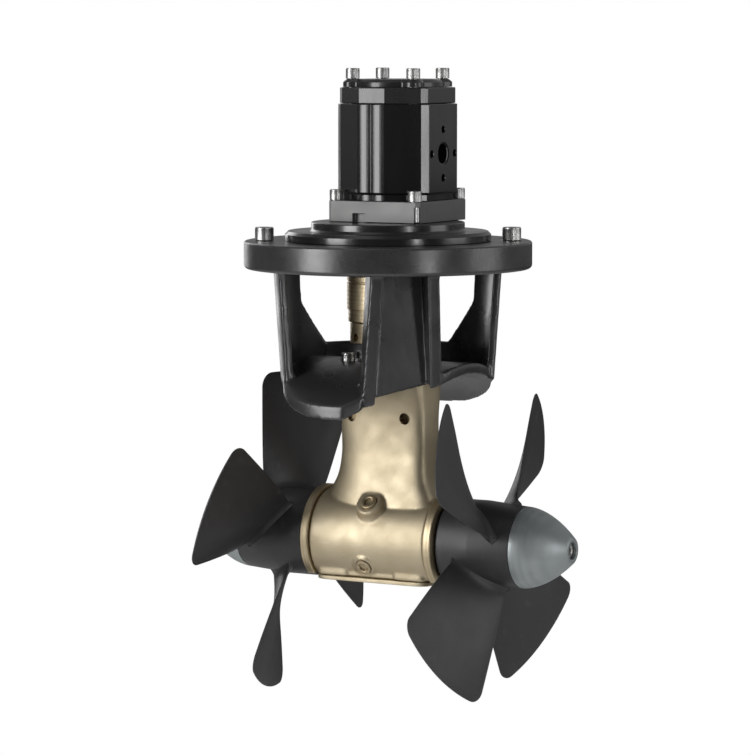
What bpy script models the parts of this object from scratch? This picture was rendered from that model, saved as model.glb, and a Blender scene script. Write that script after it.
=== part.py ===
"""Hydraulic bow thruster with two counter-rotating propellers on one gear leg.

The origin is where the vertical input shaft meets the propeller axis. X runs along
the propeller axis, Z points up the input shaft to the motor. All sizes are in metres.
"""

import math

import bmesh
import bpy
from mathutils import Matrix, Vector

MM = 0.001

# General fits and facets
SEAT_GAP = 0.3 * MM
RUNNING_GAP = 0.3 * MM
END_GAP = 1.0 * MM
WELD = 0.002 * MM
SIDES_TUNNEL = 48
SIDES_LARGE = 32
SIDES_COVER = 40
SIDES_MEDIUM = 20
SIDES_SMALL = 12
SIDES_SCREW = 8
OVERLAP = 1.0 * MM

# Bracket: flange, skirt and tunnel saddle. Heights are above the saddle's seat
SADDLE_RADIUS = 160.0 * MM
SADDLE_THICKNESS = 10.5 * MM
SADDLE_HALF_LENGTH = 105.0 * MM
SADDLE_HALF_WIDTH = 106.0 * MM
SADDLE_SQUARENESS = 2.4
BRACKET_HEIGHT = 124.0 * MM
FLANGE_RADIUS = 137.0 * MM
FLANGE_THICKNESS = 26.0 * MM
FLANGE_WEB = 17.0 * MM
FLANGE_BORE = 58.0 * MM
FLANGE_ROUND = 4.0 * MM
SKIRT_RADIUS_TOP = 109.0 * MM
SKIRT_DRAFT = 4.5 * MM
SKIRT_WALL = 8.0 * MM
SKIRT_BELOW_EDGE = 12.0 * MM
WINDOW_LIP = 1.5 * MM
WINDOW_SILL_HEIGHT = 21.0 * MM
WINDOW_SHOULDER_HEIGHT = 63.0 * MM
NEAR_LEFT_OPENING = (-131.0, -73.0)
NEAR_RIGHT_OPENING = (-33.0, 39.0)
FAR_RIGHT_WINDOW = (61.0, 109.0)
FAR_LEFT_WINDOW = (134.0, 178.0)
WINDOW_SLANT = 19.0
COLUMN_AZIMUTH = -53.0
COLUMN_PANEL_DEPTH = 33.0 * MM
COLUMN_PANEL_WALL = 8.0 * MM
RIB_SETBACK_TOP = 3.0 * MM
RIB_SETBACK_FOOT = 23.0 * MM
RIB_SPREAD_TOP = 34.5 * MM
RIB_SPREAD_FOOT = 40.0 * MM
RIB_WIDTH = 12.0 * MM

# Flange bolts
FLANGE_BOLT_EDGE = 19.5 * MM
FLANGE_BOLT_AZIMUTHS = (-151.0, 29.0)
FLANGE_BOLT_SHANK = 6.0 * MM
FLANGE_BOLT_LENGTH = 20.0 * MM
FLANGE_BOLT_HEAD = 9.0 * MM
FLANGE_BOLT_HEAD_HEIGHT = 12.5 * MM

# Adapter disc and motor mounting plate
ADAPTER_BOLT_SPACE = 10.5 * MM
ADAPTER_STEP = 9.5 * MM
ADAPTER_HUB_RADIUS = 73.0 * MM
ADAPTER_HUB_STEP = 8.5 * MM
ADAPTER_SPIGOT = 9.0 * MM
ADAPTER_BORE = 24.0 * MM
ADAPTER_CHAMFER = 3.0 * MM
MOTOR_OFFSET = 19.0 * MM
PLATE_SIDE = 98.0 * MM
PLATE_THICKNESS = 20.0 * MM
PLATE_BOLT_EDGE_X = 6.7 * MM
PLATE_BOLT_EDGE_Y = 5.4 * MM
PLATE_BOLT_SHANK = 5.0 * MM
PLATE_BOLT_HEAD = 6.5 * MM
PLATE_BOLT_HEAD_HEIGHT = 10.0 * MM
PLATE_RECESS = (14.0 * MM, 6.0 * MM, 8.5 * MM)
PLATE_RECESS_X = -15.0 * MM
PLATE_SLOT_RADIUS = 3.5 * MM

# Gear motor
BODY_HALF_LENGTH = 49.4 * MM
BODY_HALF_WIDTH = 52.8 * MM
PORT_FACE_HALF = 28.0 * MM
BODY_SHOULDER_X = 43.5 * MM
BODY_SHOULDER_Y = 33.8 * MM
END_FACE_HALF = 14.3 * MM
BODY_NECK_HEIGHT = 6.0 * MM
BODY_NECK_INSET = 3.5 * MM
BODY_HEIGHT = 91.0 * MM
CAP_HEIGHT = 15.2 * MM
CAP_INSET = 1.6 * MM
COVER_RADIUS = 43.7 * MM
COVER_HEIGHT = 7.5 * MM
COVER_EAR_RADIUS = 9.5 * MM
TIE_BOLT_X = 32.6 * MM
TIE_BOLT_Y = 29.3 * MM
TIE_BOLT_SHANK = 5.0 * MM
TIE_BOLT_LENGTH = 45.0 * MM
TIE_BOLT_HEAD = 8.0 * MM
TIE_BOLT_HEAD_HEIGHT = 10.0 * MM
PORT_BORE = 9.5 * MM
PORT_BOLT_CIRCLE = 23.0 * MM
PORT_BOLT_BORE = 3.5 * MM
PORT_BOLT_DEPTH = 12.0 * MM
PORT_HEIGHT = 44.0 * MM
MOTOR_TEETH = 12
MOTOR_MODULE = 2.0 * MOTOR_OFFSET / MOTOR_TEETH
MOTOR_GEAR_FLOOR = 14.0 * MM
MOTOR_GEAR_GAP = 0.4 * MM
JOURNAL_RADIUS = 9.0 * MM
JOURNAL_LENGTH = 7.0 * MM
MOTOR_SHAFT_RADIUS = 11.0 * MM
SEAL_HEIGHT = 8.0 * MM
MOTOR_SEAL_RADIUS = 17.0 * MM

# Flexible coupling
COUPLING_DROP = 32.0 * MM
UPPER_HUB_HEIGHT = 33.0 * MM
UPPER_HUB_RADIUS = 39.0 * MM
COUPLING_SPACE = 12.0 * MM
LOWER_HUB_HEIGHT = 20.0 * MM
LOWER_HUB_RADIUS = 36.0 * MM
LOWER_COLLAR_RADIUS = 24.0 * MM
LOWER_COLLAR_HEIGHT = 8.0 * MM
JAW_COUNT = 3
JAW_HALF_ANGLE = 25.0
JAW_INNER_RADIUS = 18.0 * MM
SET_SCREW_RADIUS = 4.0 * MM
SHAFT_ENTRY = 26.0 * MM

# Input shaft, bearings and bevel gears
SHAFT_RADIUS = 10.0 * MM
SHAFT_STUB_RADIUS = 7.5 * MM
BEARING_RADIUS = 21.0 * MM
BEARING_WIDTH = 12.0 * MM
LOWER_BEARING_SINK = 2.0 * MM
UPPER_BEARING_SINK = 32.0 * MM
BEVEL_MODULE = 2.15 * MM
PINION_TEETH = 14
PINION_HUB_RADIUS = 12.5 * MM
CROWN_TEETH = 28
BEVEL_FACE = 9.0 * MM
BEVEL_BACKLASH = 0.6 * MM
BEVEL_ADDENDUM = 0.85
PRESSURE_ANGLE = math.radians(20.0)

# Gear leg
GASKET_THICKNESS = 2.0 * MM
LEG_HALF_CHORD = 47.5 * MM
LEG_HALF_THICKNESS = 21.0 * MM
LEG_PAD_HALF_THICKNESS = 31.0 * MM
LEG_SQUARENESS = 3.2
LEG_SPIGOT_RADIUS = 26.0 * MM
LEG_SPIGOT_HEIGHT = 8.0 * MM
LEG_PAD_DEPTH = 18.0 * MM
LEG_PAD_TAPER = 20.0 * MM
LEG_FLARE_HEIGHT = 34.0 * MM
LEG_FLARE_INSET = 1.7 * MM
LEG_BOLT_X = 35.0 * MM
LEG_BOLT_Y = 15.0 * MM
LEG_BOLT_SHANK = 4.0 * MM
LEG_BOLT_DEPTH = 20.0 * MM
LEG_BOLT_HEAD = 6.5 * MM
LEG_BOLT_HEAD_HEIGHT = 8.0 * MM
LEG_SCREW_HOLE_X = 29.3 * MM
LEG_SCREW_HOLE_DROP = 43.0 * MM
LEG_SCREW_HOLE_RADIUS = 5.5 * MM
LEG_SCREW_HOLE_DEPTH = 8.0 * MM
HUB_HALF_LENGTH = 62.0 * MM
HUB_RADIUS = 45.0 * MM
HUB_WALL = 6.5 * MM
FOOT_RISE = 9.5 * MM
FOOT_HEIGHT = 17.5 * MM
FOOT_SIDE = 10.0 * MM
FOOT_SQUARENESS = 9.0
SUMP_COVER_THICKNESS = 4.0 * MM
PLUG_BOSS_RADIUS = 12.5 * MM
PLUG_BOSS_HEIGHT = 8.0 * MM
PLUG_BOSS_TILT = 45.0
PLUG_RADIUS = 8.0 * MM
PLUG_LENGTH = 6.0 * MM
DRAIN_X = -5.0 * MM
DRAIN_TILT = 32.0

# Bearing carriers and propeller shafts
CARRIER_LIP = 2.5 * MM
CARRIER_FLANGE_WIDTH = 9.0 * MM
CARRIER_DEPTH = 25.0 * MM
PROP_SHAFT_RADIUS = 12.0 * MM
PROP_SHAFT_THREAD_RADIUS = 9.0 * MM
HUB_BEARING_RADIUS = 26.0 * MM
HUB_BEARING_WIDTH = 15.0 * MM
SHAFT_SEAL_RADIUS = 20.0 * MM
SHAFT_SEAL_WIDTH = 8.0 * MM
CROWN_HUB_RADIUS = 19.0 * MM
CROWN_BEARING_SPACE = 4.0 * MM

# Propellers
PROP_TIP_CLEARANCE = 3.4 * MM
PROP_HUB_LENGTH = 75.0 * MM
PROP_HUB_RADIUS_INNER = 41.8 * MM
PROP_HUB_RADIUS_OUTER = 38.5 * MM
PROP_BLADES = 4
BLADE_ROOT_CHORD = 52.0 * MM
BLADE_TIP_CHORD = 128.0 * MM
BLADE_ROOT_THICKNESS = 9.0 * MM
BLADE_TIP_THICKNESS = 3.0 * MM
BLADE_EDGE = 0.9 * MM
BLADE_PITCH = 258.0 * MM
BLADE_CORNER = 0.08
BLADE_CORNER_POWER = 8
BLADE_SPREAD_POWER = 0.95
RIGHT_BLADE_AZIMUTH = 45.0
LEFT_BLADE_AZIMUTH = 74.0
DRIVE_PIN_RADIUS = 3.0 * MM
DRIVE_PIN_LENGTH = 44.0 * MM
NUT_RADIUS = 15.0 * MM
NUT_HEIGHT = 12.0 * MM

# Nose cone anodes
NOSE_LENGTH = 49.0 * MM
NOSE_TIP_RADIUS = 12.0 * MM
NOSE_SOCKET_RADIUS = 17.5 * MM
NOSE_SOCKET_DEPTH = 20.0 * MM
NOSE_SCREW_RADIUS = 4.0 * MM
NOSE_SCREW_HEAD = 7.0 * MM
NOSE_SCREW_HEAD_HEIGHT = 6.0 * MM
NOSE_SCREW_GRIP = 10.0 * MM
NOSE_SCREW_RECESS = 3.0 * MM

# Levels, radii and stations worked out from the sizes above
FLANGE_TOP = SADDLE_RADIUS + BRACKET_HEIGHT
SADDLE_EDGE_LEVEL = math.sqrt(SADDLE_RADIUS ** 2 - SADDLE_HALF_WIDTH ** 2)
SKIRT_FOOT = SADDLE_EDGE_LEVEL - SKIRT_BELOW_EDGE
SKIRT_RADIUS_FOOT = SKIRT_RADIUS_TOP - SKIRT_DRAFT
WINDOW_SILL = SADDLE_RADIUS + WINDOW_SILL_HEIGHT
WINDOW_SHOULDER = SADDLE_RADIUS + WINDOW_SHOULDER_HEIGHT
COLUMN_PANEL_RADIUS = SKIRT_RADIUS_TOP - COLUMN_PANEL_DEPTH
RIB_OUTER_TOP = SKIRT_RADIUS_TOP - RIB_SETBACK_TOP
RIB_OUTER_FOOT = SKIRT_RADIUS_TOP - RIB_SETBACK_FOOT
FLANGE_BOLT_CIRCLE = FLANGE_RADIUS - FLANGE_BOLT_EDGE
ADAPTER_RADIUS = FLANGE_BOLT_CIRCLE - FLANGE_BOLT_HEAD - ADAPTER_BOLT_SPACE
FLANGE_UNDERSIDE = FLANGE_TOP - FLANGE_THICKNESS
ADAPTER_TOP = FLANGE_TOP + ADAPTER_STEP + ADAPTER_HUB_STEP
PLATE_FOOT = ADAPTER_TOP + SEAT_GAP
PLATE_TOP = PLATE_FOOT + PLATE_THICKNESS
MOTOR_FOOT = PLATE_TOP + SEAT_GAP
MOTOR_TOP = MOTOR_FOOT + BODY_HEIGHT
CAP_FOOT = MOTOR_TOP + SEAT_GAP
CAP_TOP = CAP_FOOT + CAP_HEIGHT
COVER_FOOT = CAP_TOP + SEAT_GAP
COVER_TOP = COVER_FOOT + COVER_HEIGHT
MOTOR_GEAR_FOOT = MOTOR_FOOT + MOTOR_GEAR_FLOOR
MOTOR_GEAR_TOP = MOTOR_TOP - SEAT_GAP
IDLER_Y = 2.0 * MOTOR_OFFSET
MOTOR_CAVITY_RADIUS = (MOTOR_TEETH / 2 + 0.8) * MOTOR_MODULE + MOTOR_GEAR_GAP
UPPER_HUB_TOP = FLANGE_TOP - COUPLING_DROP
UPPER_HUB_FOOT = UPPER_HUB_TOP - UPPER_HUB_HEIGHT
LOWER_HUB_TOP = UPPER_HUB_FOOT - COUPLING_SPACE
LOWER_HUB_FOOT = LOWER_HUB_TOP - LOWER_HUB_HEIGHT
LEG_SPIGOT_TOP = SADDLE_RADIUS + LEG_SPIGOT_HEIGHT
LOWER_BEARING_FOOT = HUB_RADIUS - LOWER_BEARING_SINK
UPPER_BEARING_FOOT = LEG_SPIGOT_TOP - UPPER_BEARING_SINK
SEAT_RADIUS = SADDLE_RADIUS - SEAT_GAP
LEG_TOP_RADIUS = SEAT_RADIUS - GASKET_THICKNESS - SEAT_GAP
HUB_CAVITY_RADIUS = HUB_RADIUS - HUB_WALL
FOOT_LEVEL = FOOT_RISE - HUB_RADIUS
FOOT_TOP = FOOT_LEVEL + FOOT_HEIGHT
FOOT_HALF_WIDTH = HUB_RADIUS - FOOT_SIDE
PLUG_BOSS_REACH = HUB_RADIUS + PLUG_BOSS_HEIGHT
CARRIER_FLANGE_RADIUS = HUB_RADIUS + CARRIER_LIP
CARRIER_FACE = HUB_HALF_LENGTH - CARRIER_DEPTH
CROWN_BACK = CARRIER_FACE - CROWN_BEARING_SPACE
CARRIER_OUTER_FACE = HUB_HALF_LENGTH + SEAT_GAP + CARRIER_FLANGE_WIDTH
PROP_FACE = CARRIER_OUTER_FACE + END_GAP
PROP_END = PROP_FACE + PROP_HUB_LENGTH
NOSE_FOOT = PROP_END + SEAT_GAP
NOSE_END = NOSE_FOOT + NOSE_LENGTH
BLADE_STATION = PROP_FACE + PROP_HUB_LENGTH / 2
PROP_TIP_RADIUS = LEG_TOP_RADIUS - PROP_TIP_CLEARANCE

# Finishes: colour, roughness, metallic
FINISHES = {
    "black_casting": ((0.030, 0.030, 0.032), 0.45, 0.0),
    "black_gloss": ((0.008, 0.008, 0.009), 0.18, 0.0),
    "grey_plate": ((0.13, 0.14, 0.14), 0.40, 0.6),
    "bronze": ((0.52, 0.43, 0.27), 0.38, 0.9),
    "coupling_bronze": ((0.45, 0.36, 0.20), 0.42, 0.9),
    "steel": ((0.55, 0.56, 0.57), 0.28, 1.0),
    "stainless": ((0.80, 0.80, 0.80), 0.20, 1.0),
    "zinc": ((0.45, 0.49, 0.48), 0.42, 0.8),
    "composite": ((0.035, 0.035, 0.038), 0.50, 0.0),
    "rubber": ((0.02, 0.02, 0.02), 0.75, 0.0),
}


def finish(name):
    """The material of one finish, made once."""
    found = bpy.data.materials.get(name)
    if found:
        return found
    colour, roughness, metallic = FINISHES[name]
    made = bpy.data.materials.new(name)
    made.use_nodes = True
    shader = made.node_tree.nodes["Principled BSDF"]
    shader.inputs["Base Color"].default_value = (*colour, 1.0)
    shader.inputs["Roughness"].default_value = roughness
    shader.inputs["Metallic"].default_value = metallic
    return made


def from_bmesh(name, shape, coat=None):
    """A new object from a bmesh, with its faces turned outwards."""
    bmesh.ops.remove_doubles(shape, verts=shape.verts, dist=1e-7)
    bmesh.ops.recalc_face_normals(shape, faces=shape.faces)
    mesh = bpy.data.meshes.new(name)
    shape.to_mesh(mesh)
    shape.free()
    made = bpy.data.objects.new(name, mesh)
    bpy.context.scene.collection.objects.link(made)
    if coat:
        mesh.materials.append(finish(coat))
    return made


def place(obj, matrix):
    """Moves the shape inside its object, which stays at the origin."""
    obj.data.transform(matrix)
    return obj


def running_bore(radius, sides):
    """The corner radius of a faceted bore whose flats clear a shaft that turns in it."""
    return (radius + RUNNING_GAP) / math.cos(math.pi / sides)


def along_x(side=1):
    """Turns a shape made along +Z to run along +X, or along -X for side -1."""
    return Matrix.Rotation(side * math.pi / 2, 4, "Y")


def turned(name, profile, coat=None, sides=SIDES_MEDIUM):
    """A solid of revolution about Z from a closed profile of (radius, height) points."""
    shape = bmesh.new()
    points = [shape.verts.new((radius, 0.0, height)) for radius, height in profile]
    edges = [
        shape.edges.new((a, b))
        for a, b in zip(points, points[1:] + points[:1])
        if a.co.x > 0 or b.co.x > 0
    ]
    bmesh.ops.spin(
        shape, geom=points + edges, cent=(0, 0, 0), axis=(0, 0, 1),
        angle=2 * math.pi, steps=sides, use_merge=True,
    )
    return from_bmesh(name, shape, coat)


def cylinder(name, radius, foot, top, coat=None, sides=SIDES_MEDIUM):
    """A plain round bar about Z."""
    return turned(name, [(0, foot), (radius, foot), (radius, top), (0, top)], coat, sides)


def ring(name, inner, outer, foot, top, coat=None, sides=SIDES_MEDIUM):
    """A round ring about Z."""
    return turned(name, [(inner, foot), (outer, foot), (outer, top), (inner, top)], coat, sides)


def lofted(name, sections, coat=None):
    """A closed body through equal loops of points, capped at both ends."""
    shape = bmesh.new()
    loops = [[shape.verts.new(point) for point in section] for section in sections]
    for low, high in zip(loops, loops[1:]):
        for i in range(len(low)):
            j = (i + 1) % len(low)
            shape.faces.new((low[i], low[j], high[j], high[i]))
    shape.faces.new(loops[0][::-1])
    shape.faces.new(loops[-1])
    return from_bmesh(name, shape, coat)


def extruded(name, outline, foot, top, coat=None):
    """A plan outline drawn up from foot to top."""
    sections = [[(x, y, z) for x, y in outline] for z in (foot, top)]
    return lofted(name, sections, coat)


def box(name, low, high, coat=None):
    """A plain block between two corners."""
    outline = [(low[0], low[1]), (high[0], low[1]), (high[0], high[1]), (low[0], high[1])]
    return extruded(name, outline, low[2], high[2], coat)


def combine(target, others, operation):
    """Joins or cuts the target with other objects, which are used up."""
    for other in others:
        step = target.modifiers.new(other.name, "BOOLEAN")
        step.operation = operation
        step.solver = "EXACT"
        step.object = other
    graph = bpy.context.evaluated_depsgraph_get()
    graph.update()
    result = bpy.data.meshes.new_from_object(target.evaluated_get(graph))
    shape = bmesh.new()
    shape.from_mesh(result)
    bmesh.ops.remove_doubles(shape, verts=shape.verts, dist=WELD)
    bmesh.ops.dissolve_degenerate(shape, edges=shape.edges, dist=WELD)
    shape.to_mesh(result)
    shape.free()
    old = target.data
    target.modifiers.clear()
    target.data = result
    result.name = target.name
    bpy.data.meshes.remove(old)
    for other in others:
        bpy.data.objects.remove(other)
    return target


def cut(target, *others):
    """Removes the other shapes from the target."""
    return combine(target, others, "DIFFERENCE")


def join(target, *others):
    """Adds the other shapes to the target as one body."""
    return combine(target, others, "UNION")


def keep(target, *others):
    """Keeps what the target shares with the other shapes."""
    return combine(target, others, "INTERSECT")


def smooth(obj, angle=35.0):
    """Shades a round piece smooth up to an edge angle."""
    obj.data.shade_smooth()
    obj.data.set_sharp_from_angle(angle=math.radians(angle))
    return obj


def polar(radius, degrees):
    """The plan point at a radius and an azimuth."""
    turn = math.radians(degrees)
    return radius * math.cos(turn), radius * math.sin(turn)


def superellipse(half_x, half_y, power, count):
    """A rounded rectangle in plan: |x/a|^n + |y/b|^n = 1."""
    outline = []
    for i in range(count):
        turn = 2 * math.pi * (i + 0.5) / count
        c, s = math.cos(turn), math.sin(turn)
        size = (abs(c / half_x) ** power + abs(s / half_y) ** power) ** (-1 / power)
        outline.append((size * c, size * s))
    return outline


def tunnel_bar(name, radius):
    """A long bar along the propeller axis, which cuts the curve of the tunnel."""
    reach = 2 * FLANGE_RADIUS
    return place(cylinder(name, radius, -reach, reach, sides=SIDES_TUNNEL), along_x())


# Bolts


def socket_screw(name, shank, length, head, head_height, at, coat="stainless"):
    """A socket head screw hanging from its seat at a point, with a hexagon socket."""
    profile = [(0, -length), (shank, -length), (shank, 0), (head, 0)]
    profile += [(head, head_height), (0, head_height)]
    screw = turned(name, profile, coat, SIDES_SCREW)
    socket = cylinder("socket", 0.5 * head, 0.5 * head_height, 2 * head_height, sides=6)
    cut(screw, socket)
    smooth(screw)
    screw.location = at
    return screw


# Bracket


def sector_cutter(name, start, stop, profile, inner, outer):
    """A block across the skirt wall. The profile gives, for each level, the degrees that
    stay uncut at the first and at the last azimuth of the opening."""
    columns = 5
    sections = []
    for radius in (inner, outer):
        loop = []
        for level, first, last in profile:
            low, high = start + first, stop - last
            row = [
                (*polar(radius, low + (high - low) * i / (columns - 1)), level)
                for i in range(columns)
            ]
            loop.append(row)
        low_row, *middle, top_row = loop
        rim = list(low_row) + [row[-1] for row in middle] + list(top_row[::-1])
        rim += [row[0] for row in middle[::-1]]
        sections.append(rim)
    return lofted(name, sections)


def column_part(name, low, high, foot, top):
    """A block of the near column, given at its foot and top as (radius from, radius to,
    offset from, offset to) along and across the column's own azimuth."""
    turn = Matrix.Rotation(math.radians(COLUMN_AZIMUTH), 4, "Z")
    sections = []
    for (q0, q1, w0, w1), level in ((low, foot), (high, top)):
        corners = [(q0, w0), (q1, w0), (q1, w1), (q0, w1)]
        sections.append([turn @ Vector((q, w, level)) for q, w in corners])
    return lofted(name, sections)


def bracket():
    """Cast motor bracket: round flange, windowed skirt, ribbed near column and the
    curved saddle that sits on the tunnel."""
    skirt_slope = (SKIRT_RADIUS_TOP - SKIRT_RADIUS_FOOT) / (FLANGE_UNDERSIDE - SKIRT_FOOT)
    web_foot = FLANGE_TOP - FLANGE_WEB
    inner_top = SKIRT_RADIUS_TOP - SKIRT_WALL + skirt_slope * (web_foot - FLANGE_UNDERSIDE)
    profile = [
        (FLANGE_BORE, web_foot),
        (inner_top, web_foot),
        (SKIRT_RADIUS_FOOT - SKIRT_WALL, SKIRT_FOOT),
        (SKIRT_RADIUS_FOOT, SKIRT_FOOT),
        (SKIRT_RADIUS_TOP, FLANGE_UNDERSIDE),
        (FLANGE_RADIUS - FLANGE_ROUND, FLANGE_UNDERSIDE),
        (FLANGE_RADIUS, FLANGE_UNDERSIDE + FLANGE_ROUND),
        (FLANGE_RADIUS, FLANGE_TOP - 0.6 * FLANGE_ROUND),
        (FLANGE_RADIUS - 0.6 * FLANGE_ROUND, FLANGE_TOP),
        (FLANGE_BORE, FLANGE_TOP),
    ]
    casting = turned("bracket", profile, "black_casting", SIDES_LARGE)
    inner, outer = 0.8 * SKIRT_RADIUS_FOOT, 1.15 * SKIRT_RADIUS_TOP
    head = FLANGE_UNDERSIDE - WINDOW_LIP
    through = [(SKIRT_FOOT - OVERLAP, 0.0, 0.0), (head, 0.0, 0.0)]
    right_far = [(WINDOW_SILL, WINDOW_SLANT, 0.0), (WINDOW_SHOULDER, 0.0, 0.0), (head, 0.0, 0.0)]
    left_far = [(WINDOW_SILL, 0.0, WINDOW_SLANT), (WINDOW_SHOULDER, 0.0, 0.0), (head, 0.0, 0.0)]
    cut(
        casting,
        sector_cutter("near left", *NEAR_LEFT_OPENING, through, inner, outer),
        sector_cutter("near right", *NEAR_RIGHT_OPENING, through, inner, outer),
        sector_cutter("near front", NEAR_LEFT_OPENING[1] - 1, NEAR_RIGHT_OPENING[0] + 1,
                      through, inner, outer),
        sector_cutter("far right", *FAR_RIGHT_WINDOW, right_far, inner, outer),
        sector_cutter("far left", *FAR_LEFT_WINDOW, left_far, inner, outer),
    )
    outline = superellipse(SADDLE_HALF_LENGTH, SADDLE_HALF_WIDTH, SADDLE_SQUARENESS, SIDES_LARGE)
    saddle = extruded("saddle", outline, SKIRT_FOOT - OVERLAP, SADDLE_RADIUS + 2 * SADDLE_THICKNESS)
    keep(saddle, tunnel_bar("saddle top", SADDLE_RADIUS + SADDLE_THICKNESS))
    foot = SKIRT_FOOT - OVERLAP
    rib_top = FLANGE_UNDERSIDE + OVERLAP
    column_foot = SKIRT_FOOT + 2 * SADDLE_THICKNESS
    panel_inner = COLUMN_PANEL_RADIUS - COLUMN_PANEL_WALL
    clear = RIB_SPREAD_FOOT - RIB_WIDTH
    pocket_plan = (COLUMN_PANEL_RADIUS, 2 * SKIRT_RADIUS_TOP, -clear, clear)
    cut(saddle, column_part("pocket", pocket_plan, pocket_plan, foot, SADDLE_RADIUS + SADDLE_THICKNESS))
    low_half, high_half = RIB_SPREAD_FOOT - 3 * OVERLAP, RIB_SPREAD_TOP - OVERLAP
    parts = [saddle, column_part(
        "panel", (panel_inner, COLUMN_PANEL_RADIUS, -low_half, low_half),
        (panel_inner, COLUMN_PANEL_RADIUS, -high_half, high_half),
        column_foot, web_foot + OVERLAP,
    )]
    for side in (-1, 1):
        low = sorted((side * (RIB_SPREAD_FOOT - RIB_WIDTH), side * RIB_SPREAD_FOOT))
        high = sorted((side * (RIB_SPREAD_TOP - RIB_WIDTH), side * RIB_SPREAD_TOP))
        parts.append(column_part(
            f"rib {side}",
            (panel_inner - 0.5 * OVERLAP, RIB_OUTER_FOOT, *low),
            (panel_inner - 0.5 * OVERLAP, RIB_OUTER_TOP, *high),
            column_foot, rib_top,
        ))
    for part in parts:
        join(casting, part)
    cutters = [tunnel_bar("tunnel", SADDLE_RADIUS)]
    cutters.append(cylinder("spigot hole", LEG_SPIGOT_RADIUS + SEAT_GAP, 0, FLANGE_UNDERSIDE))
    for i, (x, y) in enumerate(leg_bolt_places()):
        hole = cylinder(f"leg bolt hole {i}", LEG_BOLT_SHANK + SEAT_GAP, 0, FLANGE_UNDERSIDE,
                        sides=SIDES_SCREW)
        spot = cylinder(f"leg bolt seat {i}", LEG_BOLT_HEAD + 2 * OVERLAP, leg_bolt_seat(),
                        FLANGE_UNDERSIDE, sides=SIDES_SCREW)
        cutters.append(place(hole, Matrix.Translation((x, y, 0))))
        cutters.append(place(spot, Matrix.Translation((x, y, 0))))
    for azimuth in FLANGE_BOLT_AZIMUTHS:
        hole = cylinder(f"flange bolt hole {azimuth}", FLANGE_BOLT_SHANK + SEAT_GAP,
                        FLANGE_TOP - FLANGE_BOLT_LENGTH - OVERLAP, FLANGE_TOP + OVERLAP, sides=SIDES_SCREW)
        cutters.append(place(hole, Matrix.Translation((*polar(FLANGE_BOLT_CIRCLE, azimuth), 0))))
    cut(casting, *cutters)
    return smooth(casting)


def leg_bolt_places():
    """The plan points of the four bolts that hold the leg to the bracket."""
    return [(x, y) for x in (-LEG_BOLT_X, LEG_BOLT_X) for y in (-LEG_BOLT_Y, LEG_BOLT_Y)]


def leg_bolt_seat():
    """The level of the spot faces under the heads of the leg bolts."""
    return math.sqrt((SADDLE_RADIUS + SADDLE_THICKNESS) ** 2 - (LEG_BOLT_Y + LEG_BOLT_HEAD) ** 2) - OVERLAP


def leg_bolts():
    """Four socket screws down through the saddle and the gasket into the leg."""
    seat = leg_bolt_seat() + SEAT_GAP
    length = seat - LEG_TOP_RADIUS + LEG_BOLT_DEPTH
    for i, (x, y) in enumerate(leg_bolt_places(), 1):
        socket_screw(f"leg_bolt_{i}", LEG_BOLT_SHANK, length, LEG_BOLT_HEAD,
                     LEG_BOLT_HEAD_HEIGHT, (x, y, seat))


def flange_bolts():
    """Two large socket screws standing on the flange rim."""
    for i, azimuth in enumerate(FLANGE_BOLT_AZIMUTHS, 1):
        socket_screw(f"flange_bolt_{i}", FLANGE_BOLT_SHANK, FLANGE_BOLT_LENGTH, FLANGE_BOLT_HEAD,
                     FLANGE_BOLT_HEAD_HEIGHT, (*polar(FLANGE_BOLT_CIRCLE, azimuth), FLANGE_TOP + SEAT_GAP))


def adapter_disc():
    """Stepped disc that closes the flange and carries the motor plate."""
    first = FLANGE_TOP + ADAPTER_STEP
    spigot = FLANGE_BORE - SEAT_GAP
    profile = [
        (ADAPTER_BORE, FLANGE_TOP - ADAPTER_SPIGOT),
        (spigot, FLANGE_TOP - ADAPTER_SPIGOT),
        (spigot, FLANGE_TOP + SEAT_GAP),
        (ADAPTER_RADIUS, FLANGE_TOP + SEAT_GAP),
        (ADAPTER_RADIUS, first - ADAPTER_CHAMFER),
        (ADAPTER_RADIUS - ADAPTER_CHAMFER, first),
        (ADAPTER_HUB_RADIUS, first),
        (ADAPTER_HUB_RADIUS, ADAPTER_TOP),
        (ADAPTER_BORE, ADAPTER_TOP),
    ]
    return smooth(turned("motor_adapter_disc", profile, "black_casting", SIDES_LARGE))


# Motor


def motor_outline(inset=0.0):
    """The eight-cornered plan of the motor body, narrowed all round by an inset."""
    quarter = [
        (BODY_HALF_LENGTH - inset, PORT_FACE_HALF - 0.4 * inset),
        (BODY_SHOULDER_X - 0.8 * inset, BODY_SHOULDER_Y - 0.6 * inset),
        (END_FACE_HALF - 0.3 * inset, BODY_HALF_WIDTH - inset),
    ]
    outline = quarter + [(-x, y) for x, y in quarter[::-1]]
    outline += [(-x, -y) for x, y in quarter] + [(x, -y) for x, y in quarter[::-1]]
    return [(x, y + MOTOR_OFFSET) for x, y in outline]


def corners_about_motor(half_x, half_y):
    """Four plan points of a rectangle centred on the motor, anticlockwise."""
    signs = ((-1, -1), (1, -1), (1, 1), (-1, 1))
    return [(sx * half_x, MOTOR_OFFSET + sy * half_y) for sx, sy in signs]


def plate_bolt_places():
    """The plan points of the four screws at the corners of the motor plate."""
    half = 0.5 * PLATE_SIDE
    return corners_about_motor(half - PLATE_BOLT_EDGE_X, half - PLATE_BOLT_EDGE_Y)


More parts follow.
